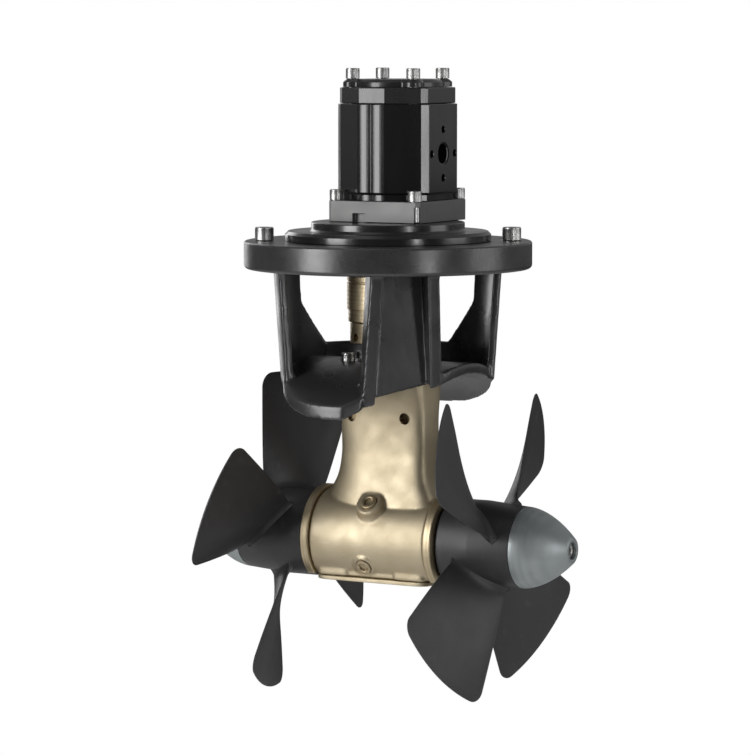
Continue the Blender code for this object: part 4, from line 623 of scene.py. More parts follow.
def inset_outline(corners: np.ndarray, radius: float, steps: int = 5) -> Outline:
    """A rounded polygon that can be drawn smaller.

    Each corner moves in along the sum of its two edges' inward normals, divided by one
    plus their product, so that both edges move in by the inset.

    Args:
        corners: Points anticlockwise as (corner, xy).
        radius: The rounding of every corner at no inset.
        steps: Points on each corner.

    Returns:
        A function from the inset to the outline's points.
    """
    ahead = unit(np.roll(corners, -1, 0) - corners)
    inward = spots(-ahead[:, 1], ahead[:, 0])
    other = np.roll(inward, 1, 0)
    push = (inward + other) / (1.0 + (inward * other).sum(1))[:, None]

    def outline(inset: float) -> np.ndarray:
        """The outline at one inset."""
        size = np.full((len(corners), 1), max(radius - inset, 0.3))
        return rounded(np.hstack([corners + push * inset, size]), True, steps)

    return outline


def superellipse(half_x: float, half_y: float, power: float, count: int = 96) -> Outline:
    """A superellipse that can be drawn smaller: |x / a|^n + |y / b|^n = 1."""
    turn = circle(count)
    ray = spots(np.cos(turn), np.sin(turn))
    shape = np.sign(ray) * np.abs(ray) ** (2 / power)
    return lambda inset: shape * np.array((half_x - inset, half_y - inset))


def stack(outline: Outline, profile: np.ndarray) -> Shell:
    """Lays an outline at each (inset, level) of a profile and joins them upwards."""
    plans = np.array([outline(inset) for inset in profile[:, 0]])
    levels = np.broadcast_to(profile[:, 1, None, None], (*plans.shape[:2], 1))
    return Shell.tube(np.concatenate([plans, levels], axis=-1))


def curved_plate(plan: np.ndarray, low: float, high: float, count: int) -> Shell:
    """A plate bent round X: rings of its plan, out along one radius and back over another.

    Args:
        plan: The outline seen from above, as (place, xy).
        low: The radius of its underside.
        high: The radius of its upper side.
        count: Rings on each side.

    Returns:
        The shell.
    """
    share = np.linspace(0.02, 1.0, count)
    sides = []
    for shares, radius in ((share, low), (share[::-1], high)):
        x, y = shares[:, None] * plan[:, 0], shares[:, None] * plan[:, 1]
        sides.append(spots(x, y, np.sqrt(radius ** 2 - y ** 2)))
    return Shell.tube(np.vstack(sides))


def oblong(
    inner: float, outer: float, low: float, high: float, ease: float = 0.0
) -> list[Triple]:
    """The corners of a profile with four sides, all eased alike."""
    return [(inner, low, ease), (outer, low, ease), (outer, high, ease), (inner, high, ease)]


def eased_block(low: float, high: float, ease: float) -> np.ndarray:
    """The (inset, level) profile of a block with rounded upper and lower edges."""
    far = ease + 0.6
    return rounded([(far, low), (0.0, low, ease), (0.0, high, ease), (far, high)])


def flowing(knots: Sequence[float], values: Sequence[float], at: np.ndarray) -> np.ndarray:
    """A smooth curve through values at knots: cubic pieces whose slopes are the central
    differences of their neighbours."""
    knots, values = np.asarray(knots, float), np.asarray(values, float)
    slope = np.gradient(values, knots)
    i = np.clip(np.searchsorted(knots, at) - 1, 0, len(knots) - 2)
    gap = knots[i + 1] - knots[i]
    t = np.clip((at - knots[i]) / gap, 0.0, 1.0)
    start = (1 + 2 * t) * (1 - t) ** 2 * values[i] + t * (1 - t) ** 2 * gap * slope[i]
    return start + t ** 2 * (3 - 2 * t) * values[i + 1] + t ** 2 * (t - 1) * gap * slope[i + 1]


# Objects


def make(name: str, shells: Sequence[Shell], sharp: float = 38.0) -> Object:
    """Puts shells into one object, in metres, with doubles merged and faces outwards.

    Args:
        name: The object's name.
        shells: Closed shells, which may overlap.
        sharp: Edges that turn more than this many degrees are shaded sharp.

    Returns:
        The object at the origin.
    """
    offsets = np.cumsum([0] + [len(shell.points) for shell in shells])
    quads = np.vstack([shell.quads + offset for shell, offset in zip(shells, offsets)])
    triangles = np.vstack([shell.triangles + offset for shell, offset in zip(shells, offsets)])
    mesh = bpy.data.meshes.new(name)
    points = np.vstack([shell.points for shell in shells]) * MM
    mesh.from_pydata(points.tolist(), [], quads.tolist() + triangles.tolist())
    shape = bmesh.new()
    shape.from_mesh(mesh)
    bmesh.ops.remove_doubles(shape, verts=shape.verts, dist=WELD * MM)
    bmesh.ops.recalc_face_normals(shape, faces=shape.faces)
    shape.to_mesh(mesh)
    shape.free()
    obj = bpy.data.objects.new(name, mesh)
    bpy.context.scene.collection.objects.link(obj)
    return shade(obj, sharp)


def shade(obj: Object, sharp: float) -> Object:
    """Smooth shading with sharp edges above an angle in degrees."""
    obj.data.shade_smooth()
    obj.data.set_sharp_from_angle(angle=math.radians(sharp))
    return obj


def bake(obj: Object) -> Object:
    """Replaces an object's mesh by what its modifiers make of it."""
    view = bpy.context.evaluated_depsgraph_get()
    view.update()
    obj.data = bpy.data.meshes.new_from_object(obj.evaluated_get(view))
    obj.modifiers.clear()
    return obj


def join_objects(first: Object, second: Object) -> Object:
    """Puts the second object's mesh into the first object, and removes the second."""
    shape = bmesh.new()
    shape.from_mesh(first.data)
    shape.from_mesh(second.data)
    shape.to_mesh(first.data)
    shape.free()
    bpy.data.objects.remove(second)
    return first


def carve(obj: Object, cutters: Iterable[Shell]) -> Object:
    """Cuts shells out of an object, one after another."""
    for i, shell in enumerate(cutters):
        cutter = make(f"{obj.name}_cutter_{i}", [shell])
        change = obj.modifiers.new("cut", "BOOLEAN")
        change.object = cutter
        change.solver = "EXACT"
        bake(obj)
        bpy.data.objects.remove(cutter)
    return obj


def soften(obj: Object, width: float, angle: float = 40.0) -> Object:
    """Rounds the sharp edges of an object by a small bevel."""
    change = obj.modifiers.new("edges", "BEVEL")
    change.width = width * MM
    change.segments = 2
    change.limit_method = "ANGLE"
    change.angle_limit = math.radians(angle)
    return shade(bake(obj), 50.0)


def cast(name: str, source: Object, voxel: float, rounds: int, keep: float = 1.0) -> Object:
    """Fuses an object's shells into one skin with cast fillets.

    Args:
        name: The name of the casting.
        source: Overlapping closed shells.
        voxel: The size of the cells that the skin is drawn on.
        rounds: How often the skin is smoothed, which sets the fillets.
        keep: The share of its triangles that the finished skin keeps.

    Returns:
        The casting.
    """
    source.name = name
    skin = source.modifiers.new("skin", "REMESH")
    skin.mode = "VOXEL"
    skin.voxel_size = voxel * MM
    skin.use_smooth_shade = True
    ease = source.modifiers.new("ease", "SMOOTH")
    ease.factor = 0.5
    ease.iterations = rounds
    thin = source.modifiers.new("thin", "DECIMATE")
    thin.ratio = keep
    return shade(bake(source), 60.0)


def flatten(obj: Object) -> Object:
    """Keeps broad faces flat beside narrow rounded edges by weighting the normals."""
    change = obj.modifiers.new("even", "WEIGHTED_NORMAL")
    change.keep_sharp = True
    change.weight = 80
    return obj


def fit(obj: Object, body: Body, finish: Finish, *nodes: str) -> Object:
    """Finishes a piece: its material, its body and the CAD nodes it stands for."""
    obj.data.materials.clear()
    obj.data.materials.append(finish.material())
    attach(obj, body.value)
    if nodes:
        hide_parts(*nodes)
    log.info("%s: %d faces on %s", obj.name, len(obj.data.polygons), body.value)
    return obj


def piece(
    node: str,
    finish: Finish,
    shells: Sequence[Shell],
    body: Body = Body.FRAME,
    sharp: float = 38.0,
    even: bool = True,
) -> None:
    """Makes the piece that stands for a CAD node from shells alone, and finishes it.

    Args:
        node: The CAD node.
        finish: The piece's finish.
        shells: Its closed shells.
        body: The body it rides on.
        sharp: Edges that turn more than this many degrees are shaded sharp.
        even: Whether its broad faces are kept flat.
    """
    made = make(f"{node}_fine", shells, sharp)
    fit(flatten(made) if even else made, body, finish, node)


# Screws


@dataclass(frozen=True)
class CapScrew:
    """A socket head screw with a knurled head, made standing at the origin. Its shank and
    head are given by their radii."""

    shank: float
    length: float
    head: float
    height: float
    sides: int = 144
    knurls: int = 36
    knurl_depth: float = 0.14

    def shell(self) -> Shell:
        """The screw as rings from its tip, up the head and down into the hexagon socket.

        A ring's radius is its own, less the knurl's cosine wave on the head's side. In
        the socket it is the hexagon's: flat distance / cos(angle from the flat's middle).
        """
        turn = circle(self.sides)
        wave = self.knurl_depth * (0.5 - 0.5 * np.cos(self.knurls * turn))
        sixth = math.pi / 3
        hexagon = 1.0 / np.cos((turn + sixth / 2) % sixth - sixth / 2)
        shank, head, top_level = self.shank, self.head, self.height
        flat, ease = 0.5 * head, 0.12 * head
        rows = [
            (0.8 * shank, -self.length, 0, 0), (shank, 0.2 * shank - self.length, 0, 0),
            (shank, 0.0, 0, 0), (head - 0.5 * ease, 0.0, 0, 0), (head, 0.5 * ease, 0, 0),
            (head, 0.8 * ease, 1, 0), (head, top_level - 1.6 * ease, 1, 0),
            (head, top_level - 1.3 * ease, 0, 0), (head - 0.3 * ease, top_level - 0.3 * ease, 0, 0),
            (head - ease, top_level, 0, 0), (1.32 * flat, top_level, 0, 0),
            (1.18 * flat, top_level - 0.04 * head, 0, 0.35), (flat, top_level - 0.12 * head, 0, 1),
            (flat, 0.45 * top_level, 0, 1), (0.2 * flat, 0.36 * top_level, 0, 0),
        ]
        radius, level, knurl, six = (np.array(part, float)[:, None] for part in zip(*rows))
        reach = radius * (1.0 - six + six * hexagon) - knurl * wave
        return Shell.tube(spots(reach * np.cos(turn), reach * np.sin(turn), level))


FLANGE_SCREW = CapScrew(shank=6.0, length=20.0, head=9.0, height=12.5)
LEG_SCREW = CapScrew(shank=4.0, length=20.0, head=6.5, height=8.0)
PLATE_SCREW = CapScrew(shank=5.0, length=20.0, head=6.5, height=10.0)
TIE_BOLT = CapScrew(shank=5.0, length=45.0, head=6.6, height=10.0)
NOSE_SCREW = CapScrew(shank=4.0, length=18.0, head=7.0, height=6.0)


def screw_row(name: str, count: int, screw: CapScrew, turn: float = 17.0) -> None:
    """Makes the screws of one kind, each with its head where its CAD node has it.

    Args:
        name: The nodes' name before their number.
        count: How many there are.
        screw: Their kind.
        turn: How far each is turned on from the one before, in degrees.
    """
    for i in range(1, count + 1):
        node = f"{name}_{i}"
        x, y, _ = middle(node)
        shell = screw.shell().turned(swing(turn * i, "Z")).moved(x, y, top(node) - screw.height)
        piece(node, STAINLESS, [shell], sharp=30.0, even=False)


# Motor bracket


@dataclass
class MotorBracket:
    """Cast bracket: a machined flange over a windowed skirt, a ribbed near column and
    the saddle that sits on the tunnel."""

    flange_radius: float = 137.0
    flange_bore: float = 58.0
    flange_thickness: float = 26.0
    web_thickness: float = 17.0
    skirt_top: float = 109.0
    skirt_foot: float = 99.0
    skirt_end: float = 107.85
    wall: float = 8.0
    tunnel_radius: float = 160.0
    plate: float = 10.5
    plan: Triple = (87.0, 105.0, 2.7)
    sill: float = 181.0
    shoulder: float = 223.0
    slant: float = 19.0
    column_turn: float = -52.3
    column_end: float = 128.85
    panel: Pair = (68.0, 76.0)
    rib_width: float = 12.0
    rib_spread: Pair = (38.5, 32.0)
    rib_reach: Pair = (92.5, 109.5)
    rib_overlap: float = 0.5
    spigot: float = 26.3
    bolt_seat: float = 168.1
    front: float = 88.4
    voxel: float = 1.15
    smoothing: int = 22
    kept_share: float = 0.5
    flange_top: float = field(default_factory=lambda: top("bracket"))
    stretches: tuple[tuple[float, float, int, int], ...] = (
        (32.0, 63.0, 0, 1), (109.0, 134.0, 0, 0), (176.0, 229.0, -1, 0),
    )
    tie_ring: Pair = (104.0, 130.0)
    root: float = 4.0
    cut_below: float = 12.0
    screw_hole: float = 8.5

    @property
    def underside(self) -> float:
        """The level of the flange's underside outside the skirt."""
        return self.flange_top - self.flange_thickness

    def on_tunnel(self, x: np.ndarray, y: np.ndarray, level: np.ndarray) -> np.ndarray:
        """Points at a level, or where that is inside the tunnel, on its surface."""
        tunnel = np.sqrt(np.maximum(self.tunnel_radius ** 2 - y ** 2, 0.0))
        return spots(x, y, np.maximum(level, tunnel))

    def flange(self) -> Shell:
        """The machined ring: a closed profile turned about Z."""
        web = self.flange_top - self.web_thickness
        inner = self.skirt_top - self.wall
        corners = [
            (self.flange_bore, web, 1.0), (inner + 2.0, web, 0.5),
            (inner + 4.0, self.underside, 0.5), (self.flange_radius, self.underside, 4.0),
            (self.flange_radius, self.flange_top, 2.2), (self.flange_bore, self.flange_top, 0.8),
        ]
        return revolve(rounded(corners, True), 192, True)

    def skirt(self, end: float, stretch: Sequence[float]) -> Shell:
        """One stretch of the skirt, from the tunnel up. Its radius falls evenly downwards.

        Args:
            end: The level of its upper end.
            stretch: Its first and last azimuth in degrees, and how many times the slant
                of a far window is added to each.

        Returns:
            The shell.
        """
        level = np.linspace(self.skirt_end, end, 90)[:, None]
        slope = np.interp(level, (self.sill, self.shoulder), (self.slant, 0.0))
        first, last = stretch[0] + stretch[2] * slope, stretch[1] + stretch[3] * slope
        turn = np.radians(first + (last - first) * np.linspace(0.0, 1.0, 60))
        rise = (level - self.skirt_end) / (self.underside - self.skirt_end)
        outer = self.skirt_foot + (self.skirt_top - self.skirt_foot) * rise
        return Shell.slab(*(
            self.on_tunnel(radius * np.cos(turn), radius * np.sin(turn), level)
            for radius in (outer, outer - self.wall)
        ))

    def column(
        self, low: Sequence[float], high: Sequence[float], end: float, round_face: bool = False
    ) -> Shell:
        """A block of the near column, from the tunnel up.

        Args:
            low: (distance from, distance to, offset from, offset to) at its foot.
            high: The same at its top.
            end: The level of its top.
            round_face: Whether the outer distances are radii about Z, so that a side
                offset by w ends at sqrt(radius^2 - w^2).

        Returns:
            The shell.
        """
        level = np.linspace(self.column_end, end, 60)[:, None]
        share = (level - self.column_end) / (end - self.column_end)
        near, far, left, right = (a + (b - a) * share for a, b in zip(low, high))
        azimuth = math.radians(self.column_turn)
        cos, sin = math.cos(azimuth), math.sin(azimuth)
        faces = []
        for offset in (left, right):
            reach = np.sqrt(far ** 2 - offset ** 2) if round_face else far
            out = near + (reach - near) * np.linspace(0.0, 1.0, 16)
            faces.append(self.on_tunnel(out * cos - offset * sin, out * sin + offset * cos, level))
        return Shell.slab(*faces)

    def saddle(self) -> Object:
        """The curved plate, cleared between and beyond the ribs, with its round holes."""
        spread, far = self.rib_spread[0], 1.6 * self.skirt_top
        clear = spread - self.rib_width
        areas = (
            (self.panel[1], far, -clear, clear),
            (self.rib_reach[0] - 10.0, far, 1.0 - spread, spread - 1.0),
            (self.front, far, -self.skirt_top, 2.0 - spread),
        )
        blocks = (self.column(area, area, 1.2 * self.sill) for area in areas)
        holes = [block.moved(z=-self.cut_below) for block in blocks]
        holes.append(bar(self.spigot, self.column_end, self.sill))
        for i in range(1, 5):
            x, y, _ = middle(f"leg_bolt_{i}")
            holes.append(bar(self.screw_hole, self.bolt_seat, self.sill).moved(x, y))
        plan = superellipse(*self.plan, count=180)(0.0)
        plate = curved_plate(plan, self.tunnel_radius, self.tunnel_radius + self.plate, 40)
        return carve(make("saddle", [plate]), holes)

    def walls(self) -> Object:
        """The skirt, the ring that ties it to the flange, and the column with its ribs."""
        top_level = self.underside + self.root
        shells = [self.skirt(top_level, stretch) for stretch in self.stretches]
        shells.append(self.skirt(self.sill, (self.stretches[0][0], self.stretches[-1][1], 0, 0)))
        ring = oblong(*self.tie_ring, self.underside - 0.5, top_level)
        shells.append(revolve(rounded(ring, True, 2), 120, True))
        low, high = self.rib_spread
        foot_area, top_area = (*self.panel, 3 - low, low - 3), (*self.panel, 1 - high, high - 1)
        shells.append(self.column(foot_area, top_area, self.underside + 8.0))
        inner = self.panel[0] - self.rib_overlap
        for sign in (-1, 1):
            foot_area, top_area = (
                (inner, reach, *sorted((sign * (out - self.rib_width), sign * out)))
                for reach, out in zip(self.rib_reach, self.rib_spread)
            )
            shells.append(self.column(foot_area, top_area, self.underside + 3.0, True))
        return make("walls", shells)

    def build(self) -> None:
        """Makes the flange and the casting below it, which both stand for the bracket."""
        flange = flatten(make("bracket_flange", [self.flange()]))
        fit(flange, Body.FRAME, BLACK_CASTING, "bracket")
        source = join_objects(self.walls(), self.saddle())
        casting = cast("bracket_casting", source, self.voxel, self.smoothing, self.kept_share)
        fit(casting, Body.FRAME, BLACK_CASTING, "bracket")
        screw_row("flange_bolt", 2, FLANGE_SCREW)
        screw_row("leg_bolt", 4, LEG_SCREW)


# Motor mount


@dataclass
class MotorMount:
    """The stepped adapter disc and the motor's mounting plate with its four screws."""

    disc_radius: float = 98.0
    step: float = 9.5
    hub_radius: float = 73.0
    bore: float = 24.0
    spigot: float = 57.7
    plate_side: float = 98.0
    chamfer: float = 3.0
    recess: Triple = (14.0, 6.0, 8.5)
    recess_x: float = -15.0
    slot_radius: float = 3.5

    def disc(self) -> Shell:
        """The adapter as one closed profile turned about Z."""
        low, high = foot("motor_adapter_disc"), top("motor_adapter_disc")
        seat = foot("flange_bolt_1") + FLANGE_SCREW.length
        first = seat + self.step - 0.3
        corners = [
            (self.bore, low, 0.5), (self.spigot, low, 0.5), (self.spigot, seat, 0.2),
            (self.disc_radius, seat, 0.4), (self.disc_radius, first - 3.0, 0.8),
            (self.disc_radius - 3.0, first, 0.8), (self.hub_radius + 2.0, first, 0.5),
            (self.hub_radius, first + 2.0, 1.5), (self.hub_radius, high, 1.2),
            (self.bore, high, 0.8),
        ]
        return revolve(rounded(corners, True), 160, True)

    def plate(self) -> Object:
        """The square plate with cut corners, a recess, a slotted corner and its bore."""
        node = "motor_mounting_plate"
        low, high, centre = foot(node), top(node), middle(node)[1]
        half = 0.5 * self.plate_side
        cut = half - self.chamfer
        near = np.array([(half, -cut), (half, cut), (cut, half), (-cut, half)])
        ring = np.vstack([near, -near]) + (0.0, centre)
        block = stack(inset_outline(ring, 1.2), eased_block(low, high, 0.7))
        width, depth, height = self.recess
        x, y = self.recess_x, centre - half
        left, right = x - width / 2, x + width / 2
        box = np.array([(left, y - 2), (right, y - 2), (right, y + depth), (left, y + depth)])
        below, crest = low - 2.0, low + height
        rise = rounded([(0.0, below), (0.0, crest, 1.0), (3.0, crest)])
        notch = stack(inset_outline(box, 1.5), rise)
        inward = 0.7 * self.chamfer
        slot = bar(self.slot_radius, below, low + 0.75 * (high - low))
        slot = slot.moved(half - inward, centre - half + inward)
        made = make(f"{node}_fine", [block])
        return flatten(soften(carve(made, [notch, slot, bar(self.bore, below, high + 2.0)]), 0.3))

    def build(self) -> None:
        """Makes the disc, the plate and its screws."""
        piece("motor_adapter_disc", TURNED_BLACK, [self.disc()])
        fit(self.plate(), Body.FRAME, GREY_PLATE, "motor_mounting_plate")
        screw_row("plate_bolt", 4, PLATE_SCREW)


# Gear motor


@dataclass
class GearMotor:
    """The faceted gear motor: body with two ports, end cap, round cover and tie bolts."""

    corner_plan: tuple[Pair, ...] = ((49.4, 28.0), (43.5, 33.8), (14.3, 52.8))
    neck_height: float = 6.0
    neck_inset: float = 3.5
    cap_inset: float = 1.6
    corner: float = 1.6
    flute: float = 0.7
    flute_points: int = 9
    cover_radius: float = 43.7
    ear_radius: float = 9.5
    ear_place: Pair = (32.6, 29.3)
    port_radius: float = 9.5
    port_depth: float = 26.0
    port_height: float = 44.0
    port_circle: float = 23.0
    screw_hole: float = 3.5
    screw_depth: float = 12.0

    def plan(self, flute: float) -> np.ndarray:
        """The body's plan, anticlockwise, round the motor's middle: its corners, and on each
        end face two shallow flutes so deep, each half a sine wave."""
        quarter = np.array(self.corner_plan)
        far = quarter[::-1] * (-1, 1)
        x = np.linspace(quarter[-1, 0], far[0, 0], 2 * self.flute_points + 1)[1:-1]
        crown = flute * np.abs(np.sin(math.pi * (x + quarter[-1, 0]) / quarter[-1, 0]))
        flutes = spots(x, quarter[-1, 1] + crown)
        half_ring = np.vstack([quarter, flutes, far])
        ring = np.vstack([half_ring, -half_ring])
        return ring + np.array((0.0, middle("motor_body")[1]))

    def port(self) -> list[Shell]:
        """The cutters of a port along +Z: its bore with a spot face, and four screw holes."""
        face = self.corner_plan[0][0]
        clear, drilled = face + 2.0, face - self.screw_depth
        seat, mouth = self.port_radius + 1.6, self.screw_hole + 0.7
        bore = revolve(np.array([
            (0.0, face - self.port_depth), (self.port_radius, face - self.port_depth),
            (self.port_radius, face - 1.4), (seat, face - 0.9), (seat, clear), (0.0, clear),
        ]), 64)
        hole = revolve(np.array([
            (0.0, drilled - 1.5), (self.screw_hole, drilled), (self.screw_hole, face - 0.6),
            (mouth, face + 0.1), (mouth, clear), (0.0, clear),
        ]), 32)
        spot = np.array((self.port_circle, 0.0, 0.0))
        return [bore, *(hole.moved(*(swing(turn, "Z") @ spot)) for turn in range(0, 360, 90))]

    def body(self) -> Object:
        """The body: the plan up a profile with a neck at its foot, then the ports."""
        low, high = foot("motor_body"), top("motor_body")
        neck = low + self.neck_height
        profile = rounded([
            (self.neck_inset + 1.2, low), (self.neck_inset, low, 0.4), (self.neck_inset, neck, 0.8),
            (0.0, neck + 1.5, 1.2), (0.0, high, 0.9), (1.6, high),
        ])
        outline = inset_outline(self.plan(self.flute), self.corner)
        made = make("motor_body_fine", [stack(outline, profile)])
        centre, level = middle("motor_body")[1], low + self.port_height
        for side in Side:
            shells = (shell.turned(along_x(side)) for shell in self.port())
            carve(made, [shell.moved(0.0, centre, level) for shell in shells])
        return flatten(shade(made, 32.0))

    def cover_outline(self, inset: float) -> np.ndarray:
        """A circle with four ears: along each ray the farther of the circle and any ear's
        edge, which is where the ray leaves the ear, then smoothed round the ring."""
        turn = circle(240)
        ray = spots(np.cos(turn), np.sin(turn))
        reach = np.full(len(turn), self.cover_radius)
        for signs in product((-1, 1), repeat=2):
            ear = np.array(self.ear_place) * signs
            along = ray @ ear
            off = ray[:, 0] * ear[1] - ray[:, 1] * ear[0]
            inside = np.maximum(self.ear_radius ** 2 - off ** 2, 0.0)
            hit = (along > 0) & (inside > 0)
            reach = np.where(hit, np.maximum(reach, along + np.sqrt(inside)), reach)
        for _ in range(3):
            reach = 0.5 * reach + 0.25 * (np.roll(reach, 1) + np.roll(reach, -1))
        return ray * (reach - inset)[:, None] + np.array((0.0, middle("motor_body")[1]))

    def build(self) -> None:
        """Makes the body, cap, cover and tie bolts."""
        fit(self.body(), Body.FRAME, BLACK_GLOSS, "motor_body")
        node = "motor_end_cap"
        outline = inset_outline(self.plan(0.0), self.corner + self.cap_inset)
        profile = eased_block(foot(node), top(node), 1.1) + np.array((self.cap_inset, 0.0))
        piece(node, SATIN_CAP, [stack(outline, profile)], sharp=32.0)
        node = "motor_end_cover"
        low, high = foot(node), top(node)
        profile = rounded([
            (1.0, low), (0.0, low, 0.4), (0.0, high - 2.8, 1.5), (3.6, high, 4.0), (7.0, high),
        ])
        piece(node, SATIN_CAP, [stack(self.cover_outline, profile)])
        screw_row("tie_bolt", 4, TIE_BOLT)


# Flexible coupling


@dataclass
class ShaftCoupling:
    """The two turned coupling hubs with their jaws, the rubber spider and both shafts."""

    upper_radius: float = 39.0
    lower_radius: float = 36.0
    collar_radius: float = 24.0
    collar_height: float = 8.0
    jaw_inner: float = 18.0
    jaw_half: float = 25.0
    motor_shaft: float = 11.0
    input_shaft: float = 10.0
    set_screw: float = 4.0
    upper_height: float = 33.0
    gap: float = 12.0
    spider_bore: Pair = (9.9, 17.7)
    spider_arm: Pair = (16.0, 34.0)

    def sector(
        self, inner: float, outer: float, centre: float, half: float, low: float, high: float
    ) -> Shell:
        """A sector of a ring about Z between two levels, with eased outer edges."""
        turn = np.radians(np.linspace(centre - half, centre + half, 14))
        radius, level = np.array([
            (inner, low), (outer - 0.8, low), (outer, low + 0.8), (outer, high - 0.8),
            (outer - 0.8, high), (inner, high),
        ]).T
        x, y = np.outer(np.cos(turn), radius), np.outer(np.sin(turn), radius)
        return Shell.tube(spots(x, y, level))

    def hub(self, node: str, corners: Sequence[Sequence[float]], first: float, jaw: Triple) -> None:
        """A hub with three jaws and a set screw hole.

        Args:
            node: Its CAD node.
            corners: The profile that it is turned from.
            first: The azimuth of its set screw and of its first jaw.
            jaw: The jaws' outer radius and their two levels.
        """
        radius, low, high = jaw
        made = make(f"{node}_fine", [revolve(rounded(corners), 128)])
        level = 0.5 * (corners[1][1] + corners[-2][1])
        hole = bar(self.set_screw, 0.55 * radius, 1.2 * radius, 32).turned(swing(-90.0, "Y"))
        carve(made, [hole.moved(z=level).turned(swing(first, "Z"))])
        jaws = make("jaws", [
            self.sector(self.jaw_inner, radius, first + turn, self.jaw_half, low, high)
            for turn in (0.0, 120.0, 240.0)
        ])
        made = join_objects(soften(made, 0.4, 50.0), jaws)
        fit(flatten(shade(made, 40.0)), Body.INPUT, COUPLING_BRONZE, node)

    def build(self) -> None:
        """Makes both hubs, the spider and the two shafts."""
        high, crest = top("coupling_upper_hub"), top("coupling_lower_hub")
        upper_foot = high - self.upper_height
        lower_top = upper_foot - self.gap
        base = foot("coupling_lower_hub")
        collar_top = base + self.collar_height
        r, s, c = self.upper_radius, self.lower_radius, self.collar_radius
        self.hub("coupling_upper_hub", [
            (0.0, upper_foot), (r, upper_foot, 0.8), (r, high - 8.0, 0.3),
            (r - 0.8, high - 7.4, 0.2), (r - 0.8, high - 6.0, 0.2), (r, high - 5.4, 0.3),
            (r, high, 1.6), (0.0, high),
        ], 0.0, (r - 1.0, lower_top + 0.3, upper_foot + 1.0))
        self.hub("coupling_lower_hub", [
            (0.0, base), (c, base, 1.0), (c, collar_top, 1.5), (s, collar_top, 1.0),
            (s, lower_top, 1.0), (0.0, lower_top),
        ], 60.0, (s - 0.5, lower_top - 1.0, crest))
        node = "coupling_spider"
        low, high = foot(node), top(node)
        spider = [revolve(rounded(oblong(*self.spider_bore, low, high, 0.6), True, 4), 72, True)]
        for turn in range(30, 390, 60):
            spider.append(self.sector(*self.spider_arm, turn, 4.0, low, high))
        piece(node, RUBBER, spider, Body.INPUT, even=False)
        for node, radius in (("motor_shaft", self.motor_shaft), ("input_shaft", self.input_shaft)):
            profile = rounded(oblong(0.0, radius, foot(node), top(node), 1.0))
            piece(node, STEEL, [revolve(profile, 64)], Body.INPUT, even=False)


# Gear leg


